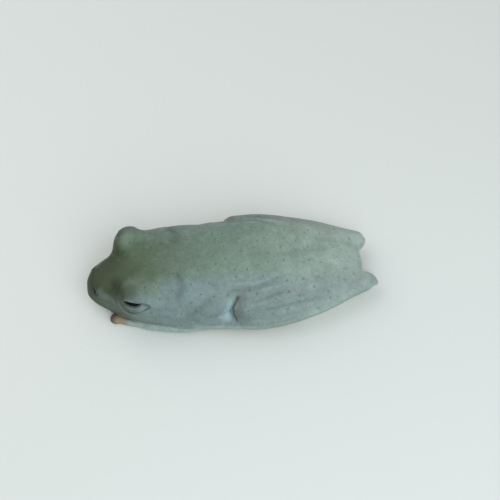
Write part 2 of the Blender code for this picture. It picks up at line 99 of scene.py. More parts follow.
# Limb rows: side, distance behind the snout, level, half width, half height
LIMBS = {
    "thigh": (
        (4.7, 47.6, 5.0, 2.6, 2.5),
        (5.9, 43.5, 5.7, 3.1, 3.1),
        (7.3, 38.5, 6.1, 3.2, 3.4),
        (8.3, 33.0, 6.2, 3.0, 3.3),
        (8.9, 30.1, 6.1, 2.6, 2.9),
    ),
    "shank": (
        (10.2, 30.4, 3.1, 2.4, 2.3),
        (10.3, 34.0, 3.3, 2.7, 2.5),
        (9.7, 39.5, 3.4, 2.6, 2.5),
        (8.2, 46.0, 3.5, 2.3, 2.1),
        (5.9, 51.6, 3.6, 2.2, 1.9),
        (4.9, 54.4, 3.5, 2.2, 1.9),
    ),
    "heel_flap": (
        (4.8, 54.9, 3.4, 2.1, 1.3),
        (4.9, 55.9, 3.3, 1.8, 1.0),
        (5.1, 56.6, 3.2, 1.2, 0.75),
        (5.3, 57.0, 3.1, 0.6, 0.5),
    ),
    "upper_arm": (
        (7.9, 18.6, 4.3, 2.0, 2.1),
        (8.0, 21.8, 5.4, 2.4, 2.6),
        (7.9, 25.5, 6.2, 2.5, 2.8),
    ),
    "forearm": (
        (9.5, 26.8, 3.2, 2.1, 2.3),
        (9.5, 22.6, 2.3, 1.9, 1.9),
        (9.3, 19.0, 1.7, 1.8, 1.5),
        (8.9, 16.0, 1.2, 1.5, 1.1),
    ),
    "tarsus": (
        (4.9, 54.4, 1.3, 1.3, 1.2),
        (6.1, 50.8, 1.1, 1.4, 1.1),
        (7.4, 46.8, 1.0, 1.5, 1.0),
        (8.3, 43.0, 0.8, 1.9, 0.9),
    ),
    "palm": ((8.7, 15.4, 0.9, 1.4, 0.9), (8.0, 13.4, 0.8, 1.9, 0.9), (7.5, 11.7, 0.7, 1.7, 0.8)),
    "arm_fringe": (
        (12.0, 28.8, 2.9, 0.5, 0.6),
        (11.5, 25.8, 2.5, 0.45, 0.45),
        (10.9, 22.5, 1.8, 0.45, 0.32),
        (10.7, 18.6, 1.2, 0.45, 0.32),
        (10.1, 15.0, 0.9, 0.4, 0.3),
        (9.2, 11.0, 0.8, 0.35, 0.3),
        (8.6, 9.7, 0.75, 0.32, 0.3),
        (8.1, 8.5, 0.7, 0.3, 0.3),
    ),
}
LIMB_SIDES, LIMB_STEPS = 28, 5
DOME_TURNS = (20, 40, 58, 74)  # degrees round the dome at a limb's end
HEEL_SHORTER = {LEFT: 0.0, RIGHT: 0.8}
FRINGE_ON_FINGER = ((7.8, 7.2, 0.8), (7.4, 6.2, 0.8))  # the pale colour goes on along the finger

# Digits: root (side, distance), tip (side, distance), outward bow of the middle
FINGERS = (
    ((6.5, 12.6), (4.0, 9.9), -0.2),
    ((6.6, 11.6), (3.0, 6.8), -0.2),
    ((7.3, 11.2), (3.9, 4.9), 0.1),
    ((8.2, 11.6), (6.3, 4.9), 0.4),
)
TOES = (
    ((7.2, 42.6), (4.1, 35.8), -0.3),
    ((7.6, 41.8), (3.9, 31.6), -0.3),
    ((8.2, 41.4), (5.3, 28.5), -0.1),
    ((8.8, 41.6), (7.6, 27.4), 0.1),
    ((9.3, 42.4), (9.9, 31.2), 0.4),
)
DIGIT_STOPS = (-0.08, 0.25, 0.5, 0.75, 0.97)
DIGIT_RADIUS, DIGIT_LEVEL = 0.72, 0.62
DIGIT_SIDES, DIGIT_STEPS = 16, 3
DISC_RADIUS, DISC_LEVEL, DISC_HEIGHT = 1.15, 0.5, 0.75
DISC_SEGMENTS, DISC_RINGS = 24, 14
WEB_STOPS = (0.0, 0.2, 0.4, 0.6, 0.8, 1.0)
WEB_LOW, WEB_HIGH, WEB_REACH, WEB_HOLLOW = 0.2, 0.85, 0.86, 0.5
WELD_DISTANCE = 1e-8  # metres

DOT_SPACING = 2.7  # between the skin's dark dots
DOT_SIZES, DOT_EDGE, DOT_STRENGTH = (0.055, 0.09), 0.04, 0.48  # sizes as shares of the spacing
DOTS_UNEVEN = 0.75
# Noises from broad to fine: scale, detail and roughness; how much each lightens and darkens
NOISES = ((220, 3.0, 0.5), (650, 4.0, 0.6), (1500, 3.0, 0.6), (3200, 2.0, 0.5))
LIGHTENS = (0.06, 0.07, 0.08, 0.06)
NOISE_MIDDLE = (0.3, 0.7)  # the range in which a noise mostly lies
GRAIN_SCALE, FOLD_SCALE, FOLD_NOISE = 2100.0, (0.9, 0.11, 1.0), (1.0, 3.0, 0.6)
GRAIN_HEIGHT, PATCHY_HEIGHT, FOLD_HEIGHT = -0.6, 1.2, 5.0
BUMP = {"Strength": 0.35, "Distance": 0.00012}
ALONG_SHIFT = 0.08  # how far the colours shift along the body, as a share of its length
FLANK_BROKEN = 0.5
TIP_SHARE, CREASE_SHARE = 0.9, 0.45
SKIN_ROUGHNESS = (0.46, 0.6)
SKIN_GLOSS = {"Specular IOR Level": 0.38, "Coat Weight": 0.05, "Coat Roughness": 0.3}
EYE_GLOSS = {
    "Roughness": 0.25, "Specular IOR Level": 0.12, "Coat Weight": 0.04, "Coat Roughness": 0.1,
}
VEIN_NOISE, VEIN_RANGE = (5200, 5.0, 0.65), (0.35, 0.65)
FLOOR_ROUGHNESS = 0.7
VOXEL = 0.27  # size of the skin's faces before the head is made finer

# Where clefts are filled, as ranges of distance and level over which each part sets in or ends
LEG_FROM, LEG_ABOVE = (30, 36), (3.0, 5.0)
ARM_FROM, ARM_TO, ARM_ABOVE = (17.5, 20), (30, 27), (3.2, 5)
HEEL_FROM = (50, 53)
BROW_FROM, BROW_TO, BROW_ABOVE = (4, 6), (20, 16), (6.0, 7.5)
HEEL_SPARED, ARM_SHARE, BROW_SHARE = 0.8, 0.8, 0.5
FIRST_FILL, LIMB_FILL = (30, 0.6), (420, 0.8)  # rounds, and the share of the way in each
FIRST_SMOOTH, LAST_SMOOTH = 5, 6
NORMALS_LAST = 4  # rounds of filling until the normals are worked out again
STEP_IN, STEP_OUT = 0.5, -0.53

# Creases of the left half, as side, distance and level: path, how far they reach, depth.
# A depth below zero is a low ridge.
NECK_CREASE = (
    ((2.4, 17.7, 11.5), (3.9, 18.0, 11.2), (5.7, 18.5, 10.7), (6.7, 18.2, 10.2), (7.7, 17.5, 9.6),
     (8.9, 17.6, 8.2)),
    0.9, 0.18,
)
ARM_GROOVE = (((10.2, 18.6, 4.6), (9.8, 20.8, 6.9), (9.2, 22.6, 8.2), (8.4, 24.4, 9.2)), 0.8, 0.12)
KNEE_CREASE = (
    ((8.7, 29.3, 9.2), (9.2, 28.4, 8.2), (9.8, 27.8, 6.6), (10.4, 27.9, 5.0), (11.2, 28.5, 3.8)),
    0.38, 0.42,
)
THIGH_CREASE = (
    ((11.2, 30.5, 4.9), (11.6, 34.5, 5.0), (10.9, 39.5, 4.9), (9.3, 45.5, 4.7)),
    0.6, 0.08,
)
RUMP_VALLEY = (((2.6, 44.5, 9.4), (3.2, 48.5, 7.6), (3.4, 52.0, 5.9), (3.2, 54.2, 4.7)), 0.8, 0.1)
EAR_CREASE = (((8.9, 12.3, 8.2), (9.4, 14.9, 7.7), (9.8, 17.7, 7.3)), 0.45, 0.1)
LEG_CREASE = (
    ((8.0, 26.0, 9.8), (7.9, 29.1, 9.9), (7.9, 32.3, 10.3), (6.9, 35.7, 10.7), (5.1, 39.8, 10.6)),
    0.4, 0.18,
)
LEG_FOLD = (
    ((8.6, 31.6, 10.0), (8.1, 34.8, 10.2), (7.7, 37.2, 10.2), (6.4, 41.0, 9.8)),
    0.45, -0.25,
)
FLANK_FOLD = (
    ((6.7, 26.0, 10.8), (6.8, 29.6, 10.9), (7.0, 32.4, 10.7), (6.2, 36.0, 11.0)),
    0.5, -0.21,
)
THIGH_LINE = (
    ((10.2, 30.4, 8.6), (10.1, 32.5, 9.1), (9.3, 35.8, 9.6), (8.3, 39.6, 9.6)),
    0.34, 0.14,
)
THIGH_RIDGE = (
    ((10.4, 31.6, 8.0), (10.0, 35.8, 8.6), (9.1, 40.0, 8.8), (8.3, 44.0, 7.8)),
    0.4, -0.15,
)
SHANK_LINE = (
    ((11.4, 31.0, 6.6), (11.0, 37.8, 7.2), (10.1, 41.8, 6.9), (8.8, 47.0, 5.8)),
    0.42, 0.15,
)
CREASES = (
    NECK_CREASE, ARM_GROOVE, KNEE_CREASE, THIGH_CREASE, RUMP_VALLEY, EAR_CREASE, LEG_CREASE,
    LEG_FOLD, FLANK_FOLD, THIGH_LINE, THIGH_RIDGE, SHANK_LINE,
)
# The back's one long fold runs across its middle line, so it isn't mirrored
BACK_FOLD = (
    ((2.9, 34.2, 12.4), (1.9, 37.9, 12.0), (0.6, 42.0, 10.6), (-0.7, 46.3, 8.7), (-2.5, 50.8, 6.5),
     (-3.5, 53.4, 5.4)),
    0.7, 0.22,
)
CREASE_ENDS, BACK_FOLD_ENDS = 0.25, 0.45  # share of a path over which its ends fade
CREASE_FULL = 0.3  # the depth at which a crease has its whole painted shade
# painted shade in the back's long fold
BACK_FOLD_SHADE = 0.3
LEVEL_REACH = 1.6  # how far above or below a path the skin still moves

# Seen by the left eye, rearward and up its lids: the slit and the outline of the lower lid
SLIT_MIDDLE, SLIT_HALF = 0.3, 1.78
SLIT_TOP, SLIT_SLOPE, SLIT_BEND = 0.68, -0.14, 0.16
SLIT_OPEN, SLIT_LEAN = 1.02, 0.2
SLIT_BLUNT = (0.4, 0.75)  # how bluntly it ends in front and at the rear; 0 is square
SLIT_EDGE = (0.05, -0.1)
SLIT_RIM = (0.2, 0.17, 0.13)  # from the slit's edge, reach, height
RIM_ENDS = (1.15, 0.9)
LID_FRONT, LID_BACK = 0.4, -1  # how far out of the eye's middle the lids and their fold begin
LID_CREASE, LID_CREASE_DEPTH, LID_CREASE_BEGINS = 0.2, 0.17, (-1.7, -0.2)
LID_CORNER_REAR, LID_CORNER_UP, LID_CORNER_WIDER = (1.4, 3.0), (0.2, -0.4), 0.04
# painted shade in the lower lid's crease, more in its rear corner
LID_CREASE_SHADE, LID_CORNER_SHADE = 0.45, 0.2
LID_BULGE, LID_BULGE_REACH, LID_BULGE_HEIGHT = (0.9, -0.75), (1.5, 0.75), 0.16
LID_FOLD_REACH, LID_FOLD_HEIGHT = 0.2, 0.1
LOWER_LID = ((-1.5, 0.5), (-1.45, -0.5), (-0.6, -1.6), (0.8, -2.0), (1.9, -1.75), (3.1, -1.1),
             (3.55, -0.66), (2.75, 0.02), (1.9, 0.4))
UPPER_LID_FOLD = ((-1.2, 0.75), (-1.75, 0.85), (-2.35, 1.25), (-2.6, 1.9))
POCKET_RADIUS = 2.3  # how near to the eye's middle the skin goes inside the slit

BODY_LENGTH = 57.0
FLANK_SOFT = 2.4  # half width of the flank's soft edge
# the pale flank is weaker on the right: painted shade on the side away from the key light
RIGHT_FLANK_SHADED, RIGHT_FROM = 0.45, (0, -4)
LOW_SNOUT_LEVEL, LOW_SNOUT_END, LOW_SNOUT_SIDE = (7.4, 5.8), (8, 5), (1.6, 4.2)
FRINGE_EDGE, FRINGE_BEGINS = (1.2, 0.5), (0.05, 0.3)
DIGIT_END = 1.12  # share of a digit's length at which its disc ends
DIGIT_EDGE, DIGIT_TOP, TIP_FROM = (1.6, 1.0), (2.2, 1.5), (0.84, 0.99)
DIGIT_ROOT, ROOT_FADE = 0.8, (0.2, 0.0)
WEB_TOP, WEB_BETWEEN, WEB_FROM, WEB_TO = (1.2, 0.95), (0.5, -0.7), (0.25, 0.95), (3.6, 3.0)
WEB_BEGINS, WEB_ENDS = (0.1, 0.4), (0.88, 0.72)
ORANGE_ENDS = (10.6, 6.2)  # distance at which a finger's orange fades
ORANGE_OUTER, ORANGE_SHORTER, FEET_FROM = (6.4, 7.2), 1.7, 14
CREAM_UNDER_ORANGE = 0.9
BELLY_FACES, BELLY_LEVEL = (0.0, -0.75), (3.6, 1.6)
LOW_LEG_LEVEL, LOW_LEG_FROM, LOW_LEG_SHARE = (2.3, 1.3), (30, 36), 0.7
BARE_FACES, BARE_FROM = (0.25, 0.7), (48, 52)  # the rump's rear has no dots
LEAST_GIRTH, ROUND_AXIS, GIRTH_SHARE, GIRTH_BASE = 2.5, 3.5, 0.4, 5.2  # of the unrolled skin
# How far from the middle the paler flank begins, at distances behind the snout
FLANK_EDGE = (
    (0.0, 5.5), (8.0, 7.4), (11.0, 5.6), (14.0, 4.8), (18.0, 4.2), (26.0, 5.0), (40.0, 6.0),
    (57.0, 4.0),
)
# Soft patches of each mark: path as side, distance and level on the left half, how far it
# reaches, and its strength on the left side and on the right
PATCHES = {
    "rust": (
        (((8.9, 29.9, 9.1), (9.8, 29.4, 8.4), (10.6, 29.0, 7.2), (11.3, 29.2, 5.6),
          (11.8, 30.0, 4.8)),
         1.8, 0.42, 0.42),
        (((8.9, 30.5, 8.9), (8.9, 34.0, 9.0), (8.6, 40.0, 8.6), (8.4, 46.0, 6.2)),
         2.0, 0.2, 0.2),
    ),
    # Painted shade: in front of the eye mounds, round the front of the slits and over them, along
    # the snout's rim, in the neck crease, the arm's groove and the knee crease; the snout's rim is
    # partly its own dark olive as well
    "shade": (
        (((2.7, 5.6, 8.0), (4.4, 6.1, 9.2), (5.9, 6.5, 10.3), (7.2, 6.8, 10.0)),
         2.0, 0.84, 0.35),
        (((6.6, 6.6, 10.1), (7.6, 6.8, 9.7), (8.5, 7.2, 9.0), (8.9, 7.7, 8.3), (9.2, 8.6, 7.9)),
         1.6, 0.62, 0.4),
        (((5.4, 7.8, 11.1), (6.8, 8.8, 11.3), (7.8, 9.6, 10.9)), 1.8, 0.22, 0.0),
        (((1.6, 1.0, 5.8), (2.6, 1.5, 5.7), (3.2, 1.7, 5.4)), 0.9, 0.7, 0.7),
        (((0.0, 0.9, 5.9), (1.9, 1.0, 5.8), (2.9, 1.4, 5.3)), 1.3, 0.45, 0.45),
        (((3.9, 18.0, 11.2), (5.7, 18.5, 10.7), (6.7, 18.1, 10.2), (7.6, 17.5, 9.6)),
         1.5, 0.12, 0.03),
        (((3.8, 18.0, 11.2), (4.2, 18.1, 11.1)), 0.6, 0.4, 0.0),
        (((6.8, 17.6, 10.3), (8.3, 17.2, 9.2)), 1.2, 0.0, 0.3),
        (((8.5, 24.0, 9.1), (9.2, 22.6, 8.2), (9.8, 20.8, 6.9), (10.2, 19.1, 5.2)),
         1.5, 0.08, 0.08),
        (((8.8, 29.3, 9.2), (9.3, 28.5, 8.2), (9.9, 28.0, 6.6), (10.5, 28.1, 5.0),
          (11.3, 28.7, 3.9)),
         0.5, 0.45, 0.45),
        (((8.7, 28.9, 9.1), (9.0, 28.7, 8.8)), 0.55, 0.8, 0.8),
    ),
    # Painted highlights: on the elbow, beside and below each eye, on the fold in front of each eye,
    # behind the nostril, and along the ridges of the flank and leg folds
    "painted_highlight": (
        (((10.8, 26.3, 5.0), (10.3, 26.9, 6.0), (9.9, 27.2, 7.0), (9.5, 27.5, 7.8)),
         1.8, 0.8, 0.8),
        (((8.4, 8.6, 8.6), (8.8, 10.2, 8.3)), 1.1, 0.3, 0.3),
        (((6.6, 6.6, 10.3), (7.5, 6.8, 9.9), (7.9, 7.2, 9.6)), 0.4, 0.5, 0.5),
        (((3.2, 2.3, 6.0), (4.1, 3.5, 6.0)), 1.5, 0.14, 0.14),
        (((6.7, 26.9, 10.9), (6.9, 29.6, 11.0), (7.1, 32.4, 10.8), (6.6, 35.0, 10.9)),
         0.7, 0.16, 0.16),
        (((8.5, 32.6, 9.7), (8.0, 34.8, 10.1), (7.6, 37.2, 10.1), (6.5, 40.2, 9.8)),
         0.7, 0.16, 0.16),
    ),
    "moss": (
        (((4.0, 9.4, 10.6), (4.5, 10.8, 10.8), (5.4, 11.6, 10.8), (5.6, 12.8, 10.4)),
         3.3, 0.9, 0.3),
        (((5.2, 8.4, 11.1), (6.4, 9.8, 11.4), (6.6, 11.2, 10.8), (6.3, 12.4, 10.1)),
         2.9, 0.0, 0.9),
    ),
    # The patches over the vent flap and the heel flaps are painted highlights in the fringe's pale
    # colour; the last patch makes the lower outline of the arm and leg paler
    "cream": (
        (((-2.9, 55.6, 3.8), (-0.3, 54.9, 4.4), (1.7, 54.5, 4.6)), 2.2, 0.9, 0.9),
        (((4.2, 56.4, 3.9), (5.2, 57.0, 3.5), (6.7, 55.5, 3.9)), 1.6, 0.5, 0.5),
        (((10.9, 20.5, 2.3), (11.3, 23.4, 2.6), (11.6, 26.0, 2.8), (12.3, 28.4, 3.0),
          (12.9, 33.0, 3.4), (12.7, 37.0, 3.6), (11.2, 44.0, 4.0), (7.9, 52.2, 4.6)),
         1.3, 0.6, 0.6),
    ),
}

NOSTRIL = (2.6, 1.4, 5.55)
NOSTRIL_AXIS = (0.88, 0.15, -0.44)
NOSTRIL_HALVES, NOSTRIL_DEPTH = (0.55, 0.24), 0.5
NOSTRIL_RIM = (2.2, 0.42, 0.18, 0.12)  # how much longer than wide, radius, reach, height
NOSTRIL_NEAR = 1.6
CANTHUS = (((4.6, 6.6, 8.7), (3.9, 4.4, 7.7), (3.2, 2.6, 6.8)), 0.8, -0.16)
CHEEK_HOLLOW, CHEEK_REACH, CHEEK_DEPTH = (5.9, 4.6, 5.6), 1.6, 0.18
EARDRUM = (9.9, 14.6, 5.2)
EARDRUM_RADIUS = 1.45
EARDRUM_FLAT = (0.3, 1, 1)  # its disc is measured mostly along the side of the head
EARDRUM_RIM, EARDRUM_RIM_HEIGHT = 0.22, 0.07
EARDRUM_EDGE, EARDRUM_DEPTH, EARDRUM_FROM_SIDE = 0.5, 0.05, 7

# Faces are halved twice near the eyes, nostrils and lips: how near, how near to an eye, and
# rounds of smoothing
FINER = ((1.3, 3.6, 4), (0.7, 2.6, 4))
LIDS_MIDDLE, LIDS_FRONT, NOSTRIL_MORE, LIPS_SHARE = 0.6, 0.2, 0.3, 0.75

# The view: where it looks in millimetres, the directions back to the camera and to its right,
# how far it is, half the width that it shows there, and the picture's shift
CAMERA_TARGET = (0, 0, 3.5)
CAMERA_BACK, CAMERA_RIGHT = (0.497, -0.056, 0.866), (0.111, 0.994, 0)
CAMERA_AWAY, CAMERA_HALF_VIEW = 200, 50
CAMERA_SHIFT = (0.036, 0.044)
CAMERA_CLIP = (0.01, 5)  # metres
# Lights: name, place in millimetres, size in metres, power and colour
LIGHTS = (
    ("key", (210, 90, 190), 0.36, 0.85, (0.8, 0.93, 1.0)),
    ("fill", (-120, -160, 220), 0.3, 0.35, (1, 1, 1)),
)
WORLD_COLOUR, WORLD_STRENGTH = (0.94, 0.98, 0.98, 1), 0.62
FLOOR_HALF = 1.5  # metres


def place(side, distance, level):
    """A point of the frog, from its side, its distance behind the snout and its level."""
    return np.array((side, distance - ORIGIN_AT, level))


def curve_through(rows, steps):
    """Rows read from a smooth curve through the given rows, with this many steps between two."""
    rows = [np.array(row, float) for row in rows]
    ends = [2 * rows[0] - rows[1], *rows, 2 * rows[-1] - rows[-2]]
    found = []
    for a, b, c, d in zip(ends, ends[1:], ends[2:], ends[3:]):
        for step in range(steps):
            t = step / steps
            found.append(
                0.5 * (2 * b + (c - a) * t + (2 * a - 5 * b + 4 * c - d) * t**2
                       + (3 * b - a - 3 * c + d) * t**3)
            )
    return np.array([*found, rows[-1]])


def smoothstep(low, high, value):
    share = np.clip((value - low) / (high - low), 0, 1)
    return share * share * (3 - 2 * share)


def path_on(side, spots, steps=PATH_STEPS):
    """A smooth path through spots given as side, distance and level on the left half."""
    rows = curve_through(spots, steps)
    shifts = TUCKED_IN[side] * smoothstep(*LIMBS_BEGIN, rows[:, 0])
    return np.array([place(side * (x - shift), d, z) for (x, d, z), shift in zip(rows, shifts)])


def nearest_on(points, path):
    """Distance from each point to a path, the vector from the path, and the share along it."""
    best = np.full(len(points), FAR_OFF)
    away = np.zeros_like(points)
    share = np.zeros(len(points))
    count = len(path) - 1
    for index, (start, end) in enumerate(zip(path, path[1:])):
        along = end - start
        t = np.clip((points - start) @ along / max(along @ along, TINY), 0, 1)
        gap = points - start - t[:, None] * along
        length = np.linalg.norm(gap, axis=1)
        closer = length < best
        best[closer] = length[closer]
        away[closer] = gap[closer]
        share[closer] = (index + t[closer]) / count
    return best, away, share


def smooth_least(a, b, blend):
    """The smaller of two distances, rounded off where they are close to each other."""
    overlap = np.maximum(blend - np.abs(a - b), 0) / blend
    return np.minimum(a, b) - overlap**2 * blend / 4


def swollen(points, cores):
    """Moves points of the plain body outward on to the swellings over the eyes and eardrums."""
    outward = points - cores
    outward /= np.linalg.norm(outward, axis=1)[:, None]
    side = np.where(points[:, 0] < 0, RIGHT, LEFT)
    mirror = np.stack([side, np.ones_like(side), np.ones_like(side)], axis=1)
    eye = place(*EYE_AT)
    fold_line = np.array([place(*spot) for spot in EAR_FOLD])
    near, far = np.zeros(len(points)), np.full(len(points), SWELL_REACH)
    for _ in range(SWELL_ROUNDS):
        reach = (near + far) / 2
        spots = (points + outward * reach[:, None]) * mirror
        mound = np.linalg.norm(spots - eye, axis=1) - LID_RADIUS
        fold = nearest_on(spots, fold_line)[0] - EAR_FOLD_RADIUS
        blended = smooth_least(smooth_least(reach, mound, MOUND_BLEND), fold, EAR_FOLD_BLEND)
        near, far = np.where(blended < 0, reach, near), np.where(blended < 0, far, reach)
    return points + outward * near[:, None]


def add_loft(flesh, rings):
    """Adds a closed skin through rings of equally many points to the flesh."""
    around = len(rings[0])
    bm = bmesh.new()
    bmesh.ops.create_grid(bm, x_segments=around, y_segments=len(rings) - 1, size=1)
    bm.verts.ensure_lookup_table()
    for row, ring in enumerate(rings):
        for column in range(around + 1):
            bm.verts[row * (around + 1) + column].co = Vector(ring[column % around]) * MM
    bmesh.ops.remove_doubles(bm, verts=bm.verts, dist=WELD_DISTANCE)
    open_edges = [edge for edge in bm.edges if edge.is_boundary]
    caps = bmesh.ops.holes_fill(bm, edges=open_edges, sides=0)["faces"]
    bmesh.ops.poke(bm, faces=caps)
    bmesh.ops.recalc_face_normals(bm, faces=bm.faces)
    add_to(flesh, bm)


def mesh_of(bm, name):
    mesh = bpy.data.meshes.new(name)
    bm.to_mesh(mesh)
    bm.free()
    return mesh


def add_object(name, data):
    made = bpy.data.objects.new(name, data)
    bpy.context.scene.collection.objects.link(made)
    return made


def add_to(flesh, bm):
    mesh = mesh_of(bm, "form")
    flesh.from_mesh(mesh)
    bpy.data.meshes.remove(mesh)


def add_body(flesh):
    turn = np.linspace(0, 2 * math.pi, BODY_SIDES, endpoint=False)
    across, rise = np.cos(turn), np.sin(turn)
    rings = []
    for distance, half_width, low, middle, high, square in curve_through(BODY_SECTIONS, BODY_STEPS):
        power = 2 / np.where(rise > 0, square, BELLY_SQUARENESS)
        reach = np.where(rise > 0, high - middle, middle - low)
        x = np.copysign(np.abs(across) ** power, across) * half_width
        z = middle + np.copysign(np.abs(rise) ** power, rise) * reach
        points = np.stack([x, np.full_like(x, distance - ORIGIN_AT), z], axis=1)
        rings.append(swollen(points, place(0, distance, middle)))
    add_loft(flesh, rings)


def add_limb(flesh, rows, side, sides=LIMB_SIDES, steps=LIMB_STEPS):
    """Adds a rounded limb through its rows, with both ends domed."""
    rows = curve_through(rows, steps)
    centres = [Vector(place(side * (r[0] - TUCKED_IN[side]), r[1], r[2])) for r in rows]
    halves = [(r[3], r[4]) for r in rows]
    tangents = [
        (centres[min(i + 1, len(rows) - 1)] - centres[max(i - 1, 0)]).normalized()
        for i in range(len(rows))
    ]
    rings = []
    for turn in DOME_TURNS[::-1]:
        rings.append(domed_ring(centres[0], halves[0], tangents[0], -1, turn, sides))
    for centre, half, along in zip(centres, halves, tangents):
        rings.append(limb_ring(centre, half, along, sides))
    for turn in DOME_TURNS:
        rings.append(domed_ring(centres[-1], halves[-1], tangents[-1], 1, turn, sides))
    add_loft(flesh, rings)


def domed_ring(centre, half, along, way, degrees, sides):
    turn = math.radians(degrees)
    shifted = centre + along * way * min(half) * math.sin(turn)
    return limb_ring(shifted, [h * math.cos(turn) for h in half], along, sides)


def limb_ring(centre, half, along, sides):
    across = along.cross(Vector((0, 0, 1))).normalized()
    rise = across.cross(along)
    turns = [2 * math.pi * step / sides for step in range(sides)]
    return [
        centre + across * half[0] * math.cos(turn) + rise * half[1] * math.sin(turn)
        for turn in turns
    ]


def digit_point(digit, share):
    """A point of a digit's middle line, bowed sideways."""
    (x0, d0), (x1, d1), bow = digit
    return (
        x0 + (x1 - x0) * share + bow * math.sin(math.pi * share),
        d0 + (d1 - d0) * share,
    )


def add_digits(flesh, group, side):
    """Adds fingers or toes with their end discs and the web between them."""
    for digit in group:
        rows = [
            (*digit_point(digit, share), DIGIT_LEVEL, DIGIT_RADIUS, DIGIT_RADIUS)
            for share in DIGIT_STOPS
        ]
        add_limb(flesh, rows, side, DIGIT_SIDES, DIGIT_STEPS)
        x, d = digit[1]
        bm = bmesh.new()
        bmesh.ops.create_uvsphere(bm, u_segments=DISC_SEGMENTS, v_segments=DISC_RINGS, radius=1)
        stretch = Matrix.Diagonal((DISC_RADIUS * MM, DISC_RADIUS * MM, DISC_HEIGHT * MM, 1))
        tip = Vector(place(side * (x - TUCKED_IN[side]), d, DISC_LEVEL)) * MM
        bmesh.ops.transform(bm, matrix=Matrix.Translation(tip) @ stretch, verts=bm.verts)
        add_to(flesh, bm)
    add_web(flesh, group, side)


def add_web(flesh, group, side):
    rows = []
    for share in WEB_STOPS:
        spots = [Vector(digit_point(digit, share * WEB_REACH)) for digit in group]
        row = [spots[0]]
        for first, second in zip(spots, spots[1:]):
            row += [(first + second) / 2, second]
        rows.append(row)
    for column in range(1, len(rows[-1]), 2):
        rows[-1][column] = rows[-1][column].lerp(rows[-2][column], WEB_HOLLOW)
    bm = bmesh.new()
    bmesh.ops.create_grid(bm, x_segments=len(rows[0]) - 1, y_segments=len(rows) - 1, size=1)
    bm.verts.ensure_lookup_table()
    flat = [spot for row in rows for spot in row]
    for vert, spot in zip(bm.verts, flat):
        vert.co = Vector(place(side * (spot.x - TUCKED_IN[side]), spot.y, WEB_LOW)) * MM
    lifted = bmesh.ops.extrude_face_region(bm, geom=bm.faces[:] + bm.edges[:] + bm.verts[:])
    raised = [part for part in lifted["geom"] if isinstance(part, bmesh.types.BMVert)]
    bmesh.ops.translate(bm, verts=raised, vec=(0, 0, (WEB_HIGH - WEB_LOW) * MM))
    bmesh.ops.recalc_face_normals(bm, faces=bm.faces)
    add_to(flesh, bm)


def fused(flesh):
    """One closed skin around all the forms, by a voxel remesh."""
    mesh = mesh_of(flesh, "frog_skin")
    skin = add_object("frog_skin", mesh)
    change = skin.modifiers.new("fuse", "REMESH")
    change.mode = "VOXEL"
    change.voxel_size = VOXEL * MM
    graph = bpy.context.evaluated_depsgraph_get()
    result = bpy.data.meshes.new_from_object(skin.evaluated_get(graph))
    skin.modifiers.clear()
    skin.data = result
    bpy.data.meshes.remove(mesh)
    return skin


class Surface:
    """The skin's points and faces as arrays, for moving points as a sculptor would."""

    def __init__(self, thing):
        self.mesh = thing.data
        points = np.zeros(len(self.mesh.vertices) * 3, np.float32)
        self.mesh.vertices.foreach_get("co", points)
        self.points = points.reshape(-1, 3).astype(float) / MM
        edges = np.zeros(len(self.mesh.edges) * 2, np.int32)
        self.mesh.edges.foreach_get("vertices", edges)
        one, other = edges.reshape(-1, 2).T
        self.of = np.concatenate([one, other])
        self.near = np.concatenate([other, one])
        self.degree = np.maximum(np.bincount(self.of, minlength=len(self.points)), 1)
        self.mesh.calc_loop_triangles()
        corners = np.zeros(len(self.mesh.loop_triangles) * 3, np.int32)
        self.mesh.loop_triangles.foreach_get("vertices", corners)
        self.corners = corners.reshape(-1, 3)

    def mean(self, values):
        """Each point's mean of its neighbours' values."""
        size = len(self.points)
        if values.ndim == 1:
            return np.bincount(self.of, values[self.near], size) / self.degree
        return np.stack([self.mean(values[:, axis]) for axis in range(values.shape[1])], axis=1)

    def normals(self):
        a, b, c = (self.points[self.corners[:, corner]] for corner in range(3))
        face = np.cross(b - a, c - a)
        summed = np.stack(
            [
                sum(np.bincount(self.corners[:, corner], face[:, axis], len(self.points))
                    for corner in range(3))
                for axis in range(3)
            ],
            axis=1,
        )
        return summed / np.maximum(np.linalg.norm(summed, axis=1), TINY)[:, None]

    def fill(self, rounds, amount):
        """Fills hollows: points move out to their neighbours' mean, and never in."""
        for turn in range(rounds):
            if turn % NORMALS_LAST == 0:
                normal = self.normals()
            move = ((self.mean(self.points) - self.points) * normal).sum(axis=1)
            self.points += (np.maximum(move, 0) * amount)[:, None] * normal

    def smooth(self, rounds, amount=1.0):
        """Evens out small ripples and keeps the size, by one step in and one step out."""
        for _ in range(rounds):
            for step in (STEP_IN, STEP_OUT):
                move = self.mean(self.points) - self.points
                self.points += move * (step * np.reshape(amount, (-1, 1)))

    def press(self, path, reach, depth, ends=CREASE_ENDS):
        """Presses a soft groove along a path, or raises a ridge where depth is negative."""
        normal = self.normals()
        _, away, share = nearest_on(self.points, path)
        height = (away * normal).sum(axis=1)
        beside = np.linalg.norm(away - height[:, None] * normal, axis=1)
        fade = smoothstep(0, ends, share) * smoothstep(0, ends, 1 - share)
        strength = np.exp(-((beside / reach) ** 2)) * fade * (np.abs(height) < LEVEL_REACH)
        self.points -= (strength * depth)[:, None] * normal
        return strength

    def dab(self, centre, reach, depth):
        """Presses a round soft hollow, or raises a swelling where depth is negative."""
        normal = self.normals()
        apart = np.linalg.norm(self.points - centre, axis=1)
        strength = np.exp(-((apart / reach) ** 2))
        self.points -= (strength * depth)[:, None] * normal

    def frog_places(self):
        """Side, distance behind the snout and level of every point."""
        return self.points[:, 0], self.points[:, 1] + ORIGIN_AT, self.points[:, 2]

    def keep(self):
        self.mesh.vertices.foreach_set("co", (self.points * MM).astype(np.float32).ravel())
        self.mesh.update()


